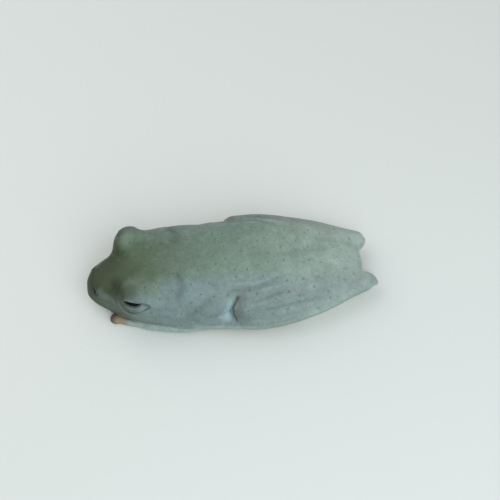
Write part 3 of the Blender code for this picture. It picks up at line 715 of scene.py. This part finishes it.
def made_finer(skin, chosen):
    """Halves the faces whose points are all chosen."""
    bm = bmesh.new()
    bm.from_mesh(skin.data)
    bm.verts.ensure_lookup_table()
    edges = [edge for edge in bm.edges if all(chosen[vert.index] for vert in edge.verts)]
    bmesh.ops.subdivide_edges(bm, edges=edges, cuts=1, use_grid_fill=True)
    bm.to_mesh(skin.data)
    bm.free()
    return Surface(skin)


def eye_turn(side):
    """Rows are the directions out of the eye, to its rear and up its lids."""
    turned = Matrix.Rotation(-EYE_FACES_FORWARD, 3, "Z") @ Matrix.Rotation(-EYE_FACES_UP, 3, "Y")
    return np.array(turned).T * (side, 1, 1)


def eye_view(points, side):
    """Points as seen by this side's eye: out of it, to its rear, and up."""
    centre = place(side * EYE_AT[0], EYE_AT[1], EYE_AT[2])
    return (points - centre) @ eye_turn(side).T


def make_flesh():
    flesh = bmesh.new()
    add_body(flesh)
    for side in BOTH:
        for name, rows in LIMBS.items():
            if name == "heel_flap":
                rows = [(x, d - HEEL_SHORTER[side], *rest) for x, d, *rest in rows]
            add_limb(flesh, rows, side)
        add_digits(flesh, FINGERS, side)
        add_digits(flesh, TOES, side)
    return fused(flesh)


def mouth_level(distance):
    share = np.clip(distance / MOUTH_END_AT, 0, MOUTH_PAST)
    return MOUTH_LEVEL + MOUTH_RISE * np.sin(math.pi * MOUTH_BEND * share)


def shape_mass(surface):
    """Evens the fused forms, and fills the clefts where soft limbs press on the body."""
    surface.smooth(FIRST_SMOOTH)
    _, distance, level = surface.frog_places()
    surface.fill(*FIRST_FILL)
    leg = smoothstep(*LEG_FROM, distance) * smoothstep(*LEG_ABOVE, level)
    arm = smoothstep(*ARM_FROM, distance) * smoothstep(*ARM_TO, distance)
    arm *= smoothstep(*ARM_ABOVE, level)
    heel = smoothstep(*HEEL_FROM, distance)
    brow = smoothstep(*BROW_FROM, distance) * smoothstep(*BROW_TO, distance)
    brow *= smoothstep(*BROW_ABOVE, level)
    limbs = np.maximum(leg * (1 - HEEL_SPARED * heel), ARM_SHARE * arm)
    rounds, amount = LIMB_FILL
    surface.fill(rounds, amount * np.maximum(limbs, BROW_SHARE * brow))
    surface.smooth(LAST_SMOOTH)


def shape_creases(surface):
    """Presses the skin's folds, and returns how strongly each point lies in one, as painted shade
    for the grooves.
    """
    dark = np.zeros(len(surface.points))
    for side in BOTH:
        for spots, reach, depth in CREASES:
            strength = surface.press(path_on(side, spots), reach, depth)
            dark = np.maximum(dark, strength * min(max(depth, 0) / CREASE_FULL, 1))
    spots, reach, depth = BACK_FOLD
    strength = surface.press(path_on(LEFT, spots), reach, depth, BACK_FOLD_ENDS)
    dark = np.maximum(dark, BACK_FOLD_SHADE * strength)
    surface.smooth(1)
    return dark


def lip(apart, from_line, reach, height):
    return np.exp(-(((apart - from_line) / reach) ** 2)) * height


def shape_mouth(surface):
    """The line of the mouth with both lips, from one corner round the snout to the other; returns
    painted shade along the line.
    """
    _, distance, level = surface.frog_places()
    apart = level - mouth_level(distance)
    normal = surface.normals()
    facing = smoothstep(*UPRIGHT, 1 - np.abs(normal[:, 2]))
    fade = smoothstep(MOUTH_END_AT + MOUTH_FADE[0], MOUTH_END_AT + MOUTH_FADE[1], distance)
    inside = fade * facing * mouth_line(surface)
    width = MOUTH_WIDTHS[0] + MOUTH_WIDTHS[1] * inside
    line = np.exp(-((apart / width) ** 2))
    lift = line * MOUTH_DEPTH - lip(apart, *UPPER_LIP) - lip(apart, *LOWER_LIP)
    surface.points -= (lift * inside)[:, None] * normal
    return line * smoothstep(*MOUTH_SHADE, inside)


def mouth_line(surface):
    """1 on the head's own skin and 0 on the hands and arms that lie beside it."""
    side, distance, _ = surface.frog_places()
    rows = curve_through(BODY_SECTIONS, COARSE_STEPS)
    half_width = np.interp(distance, rows[:, 0], rows[:, 1])
    return smoothstep(half_width + HEAD_EDGE[0], half_width + HEAD_EDGE[1], np.abs(side))


def in_eye_plane(spots):
    return np.array([(0, *spot) for spot in curve_through(spots, PATH_STEPS)])


def slit_marks(seen):
    """1 inside the slit between the lids, and 1 along the rim round it."""
    rear, up = seen[:, 1], seen[:, 2]
    front = seen[:, 0] > LID_FRONT
    share = (rear - SLIT_MIDDLE) / SLIT_HALF
    across = np.clip(1 - share**2, 0, 1)
    top = SLIT_TOP + SLIT_SLOPE * share - SLIT_BEND * share**2
    opened = SLIT_OPEN * across ** np.where(share < 0, *SLIT_BLUNT)
    bottom = top - opened * (1 + SLIT_LEAN * share)
    middle, half = (top + bottom) / 2, (top - bottom) / 2
    past = np.abs(up - middle)
    inside = smoothstep(half + SLIT_EDGE[0], half + SLIT_EDGE[1], past) * (across > 0) * front
    rim = np.exp(-(((past - half - SLIT_RIM[0]) / SLIT_RIM[1]) ** 2))
    return inside, rim * smoothstep(*RIM_ENDS, np.abs(share)) * front * (1 - inside)


def shape_eyes(surface):
    """The slit between the lids, the lower lid's outline and the fold in front of the eye; returns
    painted shade inside the slit and in the lower lid's crease.
    """
    dark = np.zeros(len(surface.points))
    for side in BOTH:
        seen = eye_view(surface.points, side)
        front = seen[:, 0] > LID_FRONT
        rear, up = seen[:, 1], seen[:, 2]
        inside, rim = slit_marks(seen)
        flat = np.stack([np.zeros_like(rear), rear, up], axis=1)
        corner = smoothstep(*LID_CORNER_REAR, rear) * smoothstep(*LID_CORNER_UP, up)
        width = LID_CREASE + LID_CORNER_WIDER * corner
        crease = np.exp(-((nearest_on(flat, in_eye_plane(LOWER_LID))[0] / width) ** 2)) * front
        crease *= smoothstep(*LID_CREASE_BEGINS, rear)
        (bulge_rear, bulge_up), (reach_rear, reach_up) = LID_BULGE, LID_BULGE_REACH
        off_rear, off_up = (rear - bulge_rear) / reach_rear, (up - bulge_up) / reach_up
        bulge = np.exp(-(off_rear**2) - off_up**2)
        ridge = np.exp(-((nearest_on(flat, in_eye_plane(UPPER_LID_FOLD))[0] / LID_FOLD_REACH) ** 2))
        ridge *= seen[:, 0] > LID_BACK
        out = surface.points - place(side * EYE_AT[0], EYE_AT[1], EYE_AT[2])
        length = np.linalg.norm(out, axis=1)
        out /= length[:, None]
        lift = SLIT_RIM[2] * rim + LID_BULGE_HEIGHT * bulge * front
        lift += LID_FOLD_HEIGHT * ridge - LID_CREASE_DEPTH * crease
        lift = lift * (1 - inside) - inside * np.maximum(length - POCKET_RADIUS, 0)
        surface.points += lift[:, None] * out
        dark = np.maximum(dark, inside)
        dark = np.maximum(dark, (LID_CREASE_SHADE + LID_CORNER_SHADE * corner) * crease)
    return dark


def shape_snout(surface):
    """The nostrils, the edge from nostril to eye and the hollow under it; returns painted shade in
    the nostril pits.
    """
    dark = np.zeros(len(surface.points))
    axis = np.array(NOSTRIL_AXIS)
    longer, radius, reach, height = NOSTRIL_RIM
    for side in BOTH:
        mirror = (side, 1, 1)
        spots, edge_reach, edge_depth = CANTHUS
        surface.press(path_on(side, spots), edge_reach, edge_depth)
        surface.dab(place(*CHEEK_HOLLOW) * mirror, CHEEK_REACH, CHEEK_DEPTH)
        offset = (surface.points - place(*NOSTRIL) * mirror) * mirror
        length = offset @ axis
        width = np.linalg.norm(offset - length[:, None] * axis, axis=1)
        pit = np.exp(-((length / NOSTRIL_HALVES[0]) ** 2) - (width / NOSTRIL_HALVES[1]) ** 2)
        rim = np.exp(-(((np.hypot(length / longer, width) - radius) / reach) ** 2))
        near = np.linalg.norm(offset, axis=1) < NOSTRIL_NEAR
        surface.points += (height * rim * near - NOSTRIL_DEPTH * pit)[:, None] * surface.normals()
        dark = np.maximum(dark, pit)
    return dark


def shape_eardrums(surface):
    """A faint round disc with a low rim behind each eye."""
    for side in BOTH:
        centre = place(*EARDRUM) * (side, 1, 1)
        apart = np.linalg.norm((surface.points - centre) * EARDRUM_FLAT, axis=1)
        ring = np.exp(-(((apart - EARDRUM_RADIUS) / EARDRUM_RIM) ** 2))
        disc = smoothstep(EARDRUM_RADIUS, EARDRUM_RADIUS - EARDRUM_EDGE, apart)
        on_side = surface.points[:, 0] * side > EARDRUM_FROM_SIDE
        sunk = (EARDRUM_DEPTH * disc - EARDRUM_RIM_HEIGHT * ring) * on_side
        surface.points -= sunk[:, None] * surface.normals()


def near_features(surface, reach, lid_reach):
    """Which points lie near the eyes, nostrils and mouth, and so need finer faces."""
    _, distance, level = surface.frog_places()
    chosen = np.zeros(len(surface.points), bool)
    for way in BOTH:
        seen = eye_view(surface.points, way)
        from_lids = np.hypot(seen[:, 1] - LIDS_MIDDLE, seen[:, 2])
        chosen |= (from_lids < lid_reach) & (seen[:, 0] > LIDS_FRONT)
        centre = place(*NOSTRIL) * (way, 1, 1)
        chosen |= np.linalg.norm(surface.points - centre, axis=1) < reach + NOSTRIL_MORE
    lips = np.abs(level - mouth_level(distance)) < reach * LIPS_SHARE
    return chosen | (lips & (distance < MOUTH_END_AT) & (mouth_line(surface) > 0.5))


def make_skin():
    skin = make_flesh()
    surface = Surface(skin)
    shape_mass(surface)
    surface.keep()
    for reach, lid_reach, rounds in FINER:
        chosen = near_features(surface, reach, lid_reach)
        surface = made_finer(skin, chosen)
        surface.smooth(rounds, near_features(surface, reach, lid_reach) * 1.0)
        surface.keep()
    crease = shape_creases(surface)
    mouth = shape_mouth(surface)
    nostril = shape_snout(surface)
    shape_eardrums(surface)
    slit = shape_eyes(surface)
    surface.points[:, 2] = np.maximum(surface.points[:, 2], 0)
    surface.keep()
    skin.data.shade_smooth()
    # painted shade in the creases, and in the mouth line, nostrils and eye slits
    dark = {"crease": crease, "opening": np.maximum(np.maximum(mouth, nostril), slit)}
    print("skin points", len(surface.points), "triangles", len(surface.corners))
    mark_skin(skin, surface, dark)
    skin.data.materials.append(skin_material())
    return skin


def write_mark(mesh, name, values):
    mark = mesh.attributes.new(name, "FLOAT", "POINT")
    mark.data.foreach_set("value", np.clip(values, 0, 1).astype(np.float32))


def digit_marks(surface):
    """How far each point is from a digit's middle line, how much it is web, and how near a tip."""
    flat = surface.points * (1, 1, 0)
    near, next_near = np.full(len(flat), FAR_OFF), np.full(len(flat), FAR_OFF)
    way_near, way_next = np.zeros_like(flat), np.zeros_like(flat)
    reached = np.zeros(len(flat))
    for side in BOTH:
        for digit in (*FINGERS, *TOES):
            stops = (*DIGIT_STOPS[:-1], DIGIT_END)
            spots = [(*digit_point(digit, share), 0) for share in stops]
            apart, away, share = nearest_on(flat, path_on(side, spots, DIGIT_PATH_STEPS))
            closer, second = apart < near, (apart >= near) & (apart < next_near)
            next_near[closer], way_next[closer] = near[closer], way_near[closer]
            next_near[second], way_next[second] = apart[second], away[second]
            near[closer], way_near[closer] = apart[closer], away[closer]
            reached[closer] = share[closer]
    between = (way_near * way_next).sum(axis=1) / np.maximum(near * next_near, SMALL)
    level = surface.points[:, 2]
    web = smoothstep(*WEB_BETWEEN, between) * smoothstep(*WEB_FROM, near)
    web *= smoothstep(*WEB_TO, next_near)
    web *= smoothstep(*WEB_BEGINS, reached) * smoothstep(*WEB_ENDS, reached)
    near = np.hypot(near, np.maximum(level - DIGIT_LEVEL, 0))
    near += DIGIT_ROOT * smoothstep(*ROOT_FADE, reached)
    return near, web * smoothstep(*WEB_TOP, level), smoothstep(*TIP_FROM, reached)


def patch_mark(surface, patches):
    """How strongly each point lies in the soft patches of one mark."""
    mark = np.zeros(len(surface.points))
    for way in BOTH:
        for spots, reach, *strengths in patches:
            apart = nearest_on(surface.points, path_on(way, spots))[0]
            mark = np.maximum(mark, strengths[BOTH.index(way)] * smoothstep(reach, 0.0, apart))
    return mark


def flank_mark(surface):
    """1 where the paler flank begins, less so on the right side as painted shade away from the key
    light, and under the snout's edge.
    """
    side, distance, level = surface.frog_places()
    half = np.abs(side)
    edge = np.interp(distance, *zip(*FLANK_EDGE))
    paler = smoothstep(-FLANK_SOFT, FLANK_SOFT, half - edge)
    paler *= 1 - RIGHT_FLANK_SHADED * smoothstep(*RIGHT_FROM, side)
    low_snout = smoothstep(*LOW_SNOUT_LEVEL, level) * smoothstep(*LOW_SNOUT_END, distance)
    return np.maximum(paler, low_snout * smoothstep(*LOW_SNOUT_SIDE, half))


def fringe_mark(surface):
    """1 along the pale fringe of each forearm."""
    mark = np.zeros(len(surface.points))
    for way in BOTH:
        fringe = path_on(way, [*[row[:3] for row in LIMBS["arm_fringe"]], *FRINGE_ON_FINGER])
        apart, _, share = nearest_on(surface.points, fringe)
        mark = np.maximum(mark, smoothstep(*FRINGE_EDGE, apart) * smoothstep(*FRINGE_BEGINS, share))
    return mark


def orange_mark(surface, near_digit):
    """1 on the toes, and on the fingers up to where their orange fades."""
    side, distance, level = surface.frog_places()
    shorter = ORANGE_SHORTER * smoothstep(*ORANGE_OUTER, np.abs(side))
    part = smoothstep(*ORANGE_ENDS, distance + shorter) + (distance > FEET_FROM)
    return smoothstep(*DIGIT_EDGE, near_digit) * smoothstep(*DIGIT_TOP, level) * part


def belly_mark(surface):
    """1 on the underside, and less on the sides of the feet."""
    _, distance, level = surface.frog_places()
    belly = smoothstep(*BELLY_FACES, surface.normals()[:, 2]) * smoothstep(*BELLY_LEVEL, level)
    low_leg = smoothstep(*LOW_LEG_LEVEL, level) * smoothstep(*LOW_LEG_FROM, distance)
    return np.maximum(belly, LOW_LEG_SHARE * low_leg)


def mark_skin(skin, surface, dark):
    """Writes where each colour of the skin lies, as attributes that the material reads."""
    _, distance, _ = surface.frog_places()
    near_digit, web, tip = digit_marks(surface)
    orange = orange_mark(surface, near_digit)
    marks = {name: patch_mark(surface, patches) for name, patches in PATCHES.items()}
    cream = np.maximum(marks["cream"], fringe_mark(surface))
    marks["cream"] = cream * (1 - CREAM_UNDER_ORANGE * orange)
    marks["along"] = distance / BODY_LENGTH
    marks["flank"] = flank_mark(surface)
    marks["belly"] = belly_mark(surface)
    rearward = surface.normals()[:, 1]
    marks["bare"] = smoothstep(*BARE_FACES, rearward) * smoothstep(*BARE_FROM, distance)
    marks.update(orange=orange, web=web, tip=tip, crease=dark["crease"], opening=dark["opening"])
    for name, values in marks.items():
        write_mark(skin.data, name, values)
    write_lie(skin.data, surface)


def write_lie(mesh, surface):
    """Where each point lies on the unrolled skin: round the body, and behind the snout."""
    side, distance, level = surface.frog_places()
    rows = curve_through(BODY_SECTIONS, COARSE_STEPS)
    girth = np.interp(distance, rows[:, 0], np.maximum(rows[:, 1], LEAST_GIRTH))
    around = np.arctan2(side, level - ROUND_AXIS) * (GIRTH_SHARE * girth + GIRTH_BASE)
    lie = np.stack([around, distance, np.zeros(len(side))], axis=1)
    mark = mesh.attributes.new("lie", "FLOAT_VECTOR", "POINT")
    mark.data.foreach_set("vector", lie.astype(np.float32).ravel())


def srgb(red, green, blue):
    """A colour as shown on a screen, 0 to 255, for a shader's socket."""
    parts = [value / 255 for value in (red, green, blue)]
    return (*[v / 12.92 if v <= 0.04045 else ((v + 0.055) / 1.055) ** 2.4 for v in parts], 1)


# Colours along the back and along the flank, at shares of the body's length: partly the skin's own
# olive head and grey-green body, partly painted reflection haze that makes the body, flank and rump
# paler and bluer than the head
BACK_COLOURS = (
    (0.0, srgb(31, 40, 11)),
    (0.1, srgb(41, 60, 20)),
    (0.2, srgb(60, 76, 49)),
    (0.36, srgb(95, 113, 98)),
    (0.58, srgb(107, 124, 112)),
    (0.78, srgb(132, 146, 135)),
    (0.95, srgb(148, 161, 153)),
)
FLANK_COLOURS = (
    (0.0, srgb(59, 69, 54)),
    (0.1, srgb(73, 85, 72)),
    (0.16, srgb(98, 112, 107)),
    (0.24, srgb(105, 122, 120)),
    (0.4, srgb(104, 121, 118)),
    (0.6, srgb(112, 126, 122)),
    (0.95, srgb(132, 143, 138)),
)
BELLY_CREAM = srgb(182, 182, 154)
# the pale fringe's colour, also used for the painted highlights on the vent flap and heels
FRINGE_AND_HIGHLIGHT_WHITE = srgb(138, 152, 144)
DIGIT_ORANGE = srgb(134, 119, 90)
TIP_BROWN = srgb(52, 47, 32)
WEB_DARK = srgb(36, 46, 54)
KNEE_BROWN = srgb(84, 78, 72)
SHADE_BROWN = srgb(22, 28, 8)
# colour of the painted highlights
PAINTED_HIGHLIGHT_BLUE = srgb(140, 161, 164)
MOSS_GREEN = srgb(98, 114, 97)
# colour of the painted shade in the creases
CREASE_SHADE = srgb(44, 54, 46)
# colour of the painted shade in the mouth line, nostrils and eye slits
OPENING_SHADE = srgb(16, 15, 18)
DOT_DARK = srgb(50, 68, 62)
# Painted shade from the lids: the iris and the eyeball round it are dark bronze and near black,
# darker than the living frog's gold iris
IRIS_DARK, IRIS_BRONZE = srgb(20, 17, 15), srgb(54, 43, 30)
EYE_RIM, PUPIL_BLACK = srgb(22, 20, 19), srgb(5, 5, 7)
FLOOR_GREY = srgb(205, 206, 202)


def feed(tree, socket, value):
    """Links an output to a socket, or sets the socket's own value."""
    if isinstance(value, bpy.types.NodeSocket):
        tree.links.new(value, socket)
    else:
        socket.default_value = value


def feed_all(tree, node, inputs):
    for name, value in inputs.items():
        feed(tree, node.inputs[name], value)


def add_node(tree, kind, inputs=None, **settings):
    made = tree.nodes.new(kind)
    for name, value in settings.items():
        setattr(made, name, value)
    feed_all(tree, made, inputs or {})
    return made


def new_material(name):
    """A material with its node tree and its shader."""
    made = bpy.data.materials.new(name)
    made.use_nodes = True
    return made, made.node_tree, made.node_tree.nodes["Principled BSDF"]


def mark_value(tree, name):
    return add_node(tree, "ShaderNodeAttribute", attribute_name=name).outputs["Fac"]


def mixed(tree, share, first, second, blend="MIX"):
    node = tree.nodes.new("ShaderNodeMix")
    node.data_type, node.blend_type = "RGBA", blend
    for socket, value in ((0, share), (6, first), (7, second)):
        feed(tree, node.inputs[socket], value)
    return node.outputs[2]


def maths(tree, operation, first, second=0.0, third=0.0):
    node = add_node(tree, "ShaderNodeMath", operation=operation)
    for socket, value in zip(node.inputs, (first, second, third)):
        feed(tree, socket, value)
    return node.outputs[0]


def ranged(tree, value, low, high, to_low=0.0, to_high=1.0):
    inputs = {
        "Value": value, "From Min": low, "From Max": high, "To Min": to_low, "To Max": to_high,
    }
    made = add_node(tree, "ShaderNodeMapRange", inputs, interpolation_type="SMOOTHSTEP")
    return made.outputs["Result"]


def spread(tree, texture, low, high):
    """The middle range of a noise, brought to values from low to high."""
    return ranged(tree, texture, *NOISE_MIDDLE, low, high)


def ramp(tree, value, stops):
    """Colours at shares of a value from 0 to 1, blended smoothly."""
    made = add_node(tree, "ShaderNodeValToRGB", {"Fac": value})
    made.color_ramp.interpolation = "B_SPLINE"
    elements = made.color_ramp.elements
    while len(elements) < len(stops):
        elements.new(1.0)
    for element, (share, colour) in zip(elements, stops):
        element.position, element.color = share, colour
    return made.outputs["Color"]


def noise(tree, place_out, scale, detail, roughness):
    inputs = {"Vector": place_out, "Scale": scale, "Detail": detail, "Roughness": roughness}
    return add_node(tree, "ShaderNodeTexNoise", inputs).outputs["Fac"]


def with_marks(tree, colour, patchy):
    """The skin's colour with its marks laid over it, some with edges broken by the noise."""
    tip = maths(tree, "MULTIPLY", mark_value(tree, "tip"), TIP_SHARE)
    digit = mixed(tree, tip, DIGIT_ORANGE, TIP_BROWN)
    layers = (  # mark, how broken its edge is, and colour
        # painted highlights and painted shade are laid over the colour along with the skin's own
        # marks
        ("moss", 0, MOSS_GREEN), ("rust", 0, KNEE_BROWN), ("painted_highlight", 0, PAINTED_HIGHLIGHT_BLUE),
        ("shade", 0, SHADE_BROWN), ("belly", 0.5, BELLY_CREAM), ("cream", 0.4, FRINGE_AND_HIGHLIGHT_WHITE),
        ("orange", 0.3, digit), ("web", 0, WEB_DARK),
    )
    for name, amount, over in layers:
        share = broken(tree, name, patchy, amount) if amount else mark_value(tree, name)
        colour = mixed(tree, share, colour, over)
    return colour


def broken(tree, name, patchy, amount):
    """An attribute with its edge broken up a little by the patchy noise."""
    lowered = maths(tree, "SUBTRACT", mark_value(tree, name), amount / 2)
    return ranged(tree, maths(tree, "MULTIPLY_ADD", patchy, amount, lowered), 0.0, 1.0)


def mottled(tree, colour, textures):
    """The colour made lighter and darker by each noise, by its share up and down."""
    light = 1.0
    for texture, share in zip(textures, LIGHTENS):
        light = maths(tree, "MULTIPLY", light, spread(tree, texture, 1 - share, 1 + share))
    tone = add_node(tree, "ShaderNodeCombineColor", {"Red": light, "Green": light, "Blue": light})
    return mixed(tree, 1.0, colour, tone.outputs["Color"], "MULTIPLY")


def dotted(tree, colour, lie, broad):
    """Small dark dots, left out on the underside, the digits, the fringe and the vent."""
    inputs = {"Vector": lie, "Scale": 1 / DOT_SPACING, "Randomness": DOTS_UNEVEN}
    cells = add_node(tree, "ShaderNodeTexVoronoi", inputs, voronoi_dimensions="2D")
    inside = maths(tree, "SUBTRACT", spread(tree, broad, *DOT_SIZES), cells.outputs["Distance"])
    dots = ranged(tree, inside, -DOT_EDGE, DOT_EDGE)
    bare = mark_value(tree, "belly")
    for name in ("orange", "cream", "bare"):
        bare = maths(tree, "ADD", bare, mark_value(tree, name))
    strength = maths(tree, "MAXIMUM", maths(tree, "SUBTRACT", DOT_STRENGTH, bare), 0.0)
    return mixed(tree, maths(tree, "MULTIPLY", dots, strength), colour, DOT_DARK)


def skin_relief(tree, spot, lie, patchy, fine):
    """Grains, mottles and long folds on the flank as one height."""
    inputs = {"Vector": spot, "Scale": GRAIN_SCALE}
    grains = add_node(tree, "ShaderNodeTexVoronoi", inputs, feature="SMOOTH_F1")
    stretch = add_node(tree, "ShaderNodeMapping", {"Vector": lie, "Scale": FOLD_SCALE})
    folds = noise(tree, stretch.outputs["Vector"], *FOLD_NOISE)
    folds = maths(tree, "MULTIPLY", folds, mark_value(tree, "flank"))
    height = maths(tree, "MULTIPLY_ADD", grains.outputs["Distance"], GRAIN_HEIGHT, fine)
    height = maths(tree, "MULTIPLY_ADD", patchy, PATCHY_HEIGHT, height)
    return maths(tree, "MULTIPLY_ADD", folds, FOLD_HEIGHT, height)


def skin_material():
    made, tree, shader = new_material("frog_skin")
    spot = add_node(tree, "ShaderNodeTexCoord").outputs["Object"]
    lie = add_node(tree, "ShaderNodeAttribute", attribute_name="lie").outputs["Vector"]
    textures = [noise(tree, spot, *values) for values in NOISES]
    broad, patchy, _, fine = textures

    shifted = maths(tree, "SUBTRACT", mark_value(tree, "along"), ALONG_SHIFT / 2)
    along = maths(tree, "MULTIPLY_ADD", broad, ALONG_SHIFT, shifted)
    back, flank = ramp(tree, along, BACK_COLOURS), ramp(tree, along, FLANK_COLOURS)
    colour = mixed(tree, broken(tree, "flank", patchy, FLANK_BROKEN), back, flank)
    colour = mottled(tree, with_marks(tree, colour, patchy), textures)
    colour = dotted(tree, colour, lie, broad)
    # painted shade in the creases
    crease = maths(tree, "MULTIPLY", mark_value(tree, "crease"), CREASE_SHARE)
    colour = mixed(tree, crease, colour, CREASE_SHADE)
    # painted shade in the mouth line, nostrils and eye slits
    colour = mixed(tree, mark_value(tree, "opening"), colour, OPENING_SHADE)
    height = skin_relief(tree, spot, lie, patchy, fine)
    bump = add_node(tree, "ShaderNodeBump", {"Height": height, **BUMP})
    values = {
        "Base Color": colour, "Roughness": spread(tree, patchy, *SKIN_ROUGHNESS),
        "Normal": bump.outputs["Normal"], **SKIN_GLOSS,
    }
    feed_all(tree, shader, values)
    return made


def make_eye(side, word):
    """A glossy eyeball with a dark level pupil and a thin bronze iris."""
    bm = bmesh.new()
    bmesh.ops.create_uvsphere(
        bm, u_segments=EYE_SEGMENTS, v_segments=EYE_RINGS, radius=EYEBALL * MM
    )
    turn = Matrix([Vector(row) for row in eye_turn(side)]).transposed().to_4x4()
    poles_out = Matrix.Rotation(math.pi / 2, 3, "Y")
    bmesh.ops.rotate(bm, verts=bm.verts, cent=(0, 0, 0), matrix=poles_out)
    centre = Vector(place(side * EYE_AT[0], EYE_AT[1], EYE_AT[2])) * MM
    bmesh.ops.transform(bm, matrix=Matrix.Translation(centre) @ turn, verts=bm.verts)
    bmesh.ops.recalc_face_normals(bm, faces=bm.faces)
    mesh = mesh_of(bm, f"eyeball_{word}")
    mesh.shade_smooth()
    points = np.zeros(len(mesh.vertices) * 3, np.float32)
    mesh.vertices.foreach_get("co", points)
    seen = eye_view(points.reshape(-1, 3) / MM, side) / EYEBALL
    front, rear, up = seen[:, 0] > 0, seen[:, 1], seen[:, 2]
    pupil = np.hypot(rear / PUPIL_HALVES[0], up / PUPIL_HALVES[1])
    write_mark(mesh, "pupil", smoothstep(*PUPIL_EDGE, pupil) * front)
    write_mark(mesh, "iris", smoothstep(*IRIS_EDGE, np.hypot(rear, up)) * front)
    eye = add_object(f"eyeball_{word}", mesh)
    eye.data.materials.append(eye_material())
    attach(eye, "root")
    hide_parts(f"eye_{word}")


def eye_material():
    made = bpy.data.materials.get("eyeball")
    if made:
        return made
    made, tree, shader = new_material("eyeball")
    spot = add_node(tree, "ShaderNodeTexCoord").outputs["Object"]
    veins = noise(tree, spot, *VEIN_NOISE)
    bronze = mixed(tree, ranged(tree, veins, *VEIN_RANGE), IRIS_DARK, IRIS_BRONZE)
    colour = mixed(tree, mark_value(tree, "iris"), EYE_RIM, bronze)
    colour = mixed(tree, mark_value(tree, "pupil"), colour, PUPIL_BLACK)
    feed_all(tree, shader, {"Base Color": colour, **EYE_GLOSS})
    return made


def make_camera():
    """The photo's view: from above and the frog's left, with the snout to the left."""
    back = Vector(CAMERA_BACK).normalized()
    right = Vector(CAMERA_RIGHT).normalized()
    up = back.cross(right)
    camera = add_object("camera", bpy.data.cameras.new("camera"))
    camera.rotation_mode = "QUATERNION"
    camera.location = (Vector(CAMERA_TARGET) + back * CAMERA_AWAY) * MM
    camera.rotation_quaternion = Matrix((right, up, back)).transposed().to_quaternion()
    camera.data.lens = camera.data.sensor_width / 2 / (CAMERA_HALF_VIEW / CAMERA_AWAY)
    camera.data.shift_x, camera.data.shift_y = CAMERA_SHIFT
    camera.data.clip_start, camera.data.clip_end = CAMERA_CLIP
    bpy.context.scene.camera = camera


def make_light(name, spot, size, power, colour):
    data = bpy.data.lights.new(name, "AREA")
    data.size, data.energy, data.color = size, power, colour
    light = add_object(name, data)
    light.location = Vector(spot) * MM
    light.rotation_mode = "QUATERNION"
    light.rotation_quaternion = light.location.to_track_quat("Z", "Y")


def floor_material():
    made, tree, shader = new_material("floor")
    feed_all(tree, shader, {"Base Color": FLOOR_GREY, "Roughness": FLOOR_ROUGHNESS})
    return made


def make_stage():
    bm = bmesh.new()
    bmesh.ops.create_grid(bm, x_segments=1, y_segments=1, size=FLOOR_HALF)
    floor = add_object("floor", mesh_of(bm, "floor"))
    floor.data.materials.append(floor_material())
    world = bpy.data.worlds.new("studio")
    bpy.context.scene.world = world
    world.use_nodes = True
    background = world.node_tree.nodes["Background"]
    background.inputs["Color"].default_value = WORLD_COLOUR
    background.inputs["Strength"].default_value = WORLD_STRENGTH
    for light in LIGHTS:
        make_light(*light)
    bpy.context.scene.view_settings.view_transform = "Standard"


skin = make_skin()
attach(skin, "root")
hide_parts(*[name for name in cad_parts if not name.startswith("eye")])
for side, word in ((LEFT, "left"), (RIGHT, "right")):
    make_eye(side, word)
make_camera()
make_stage()
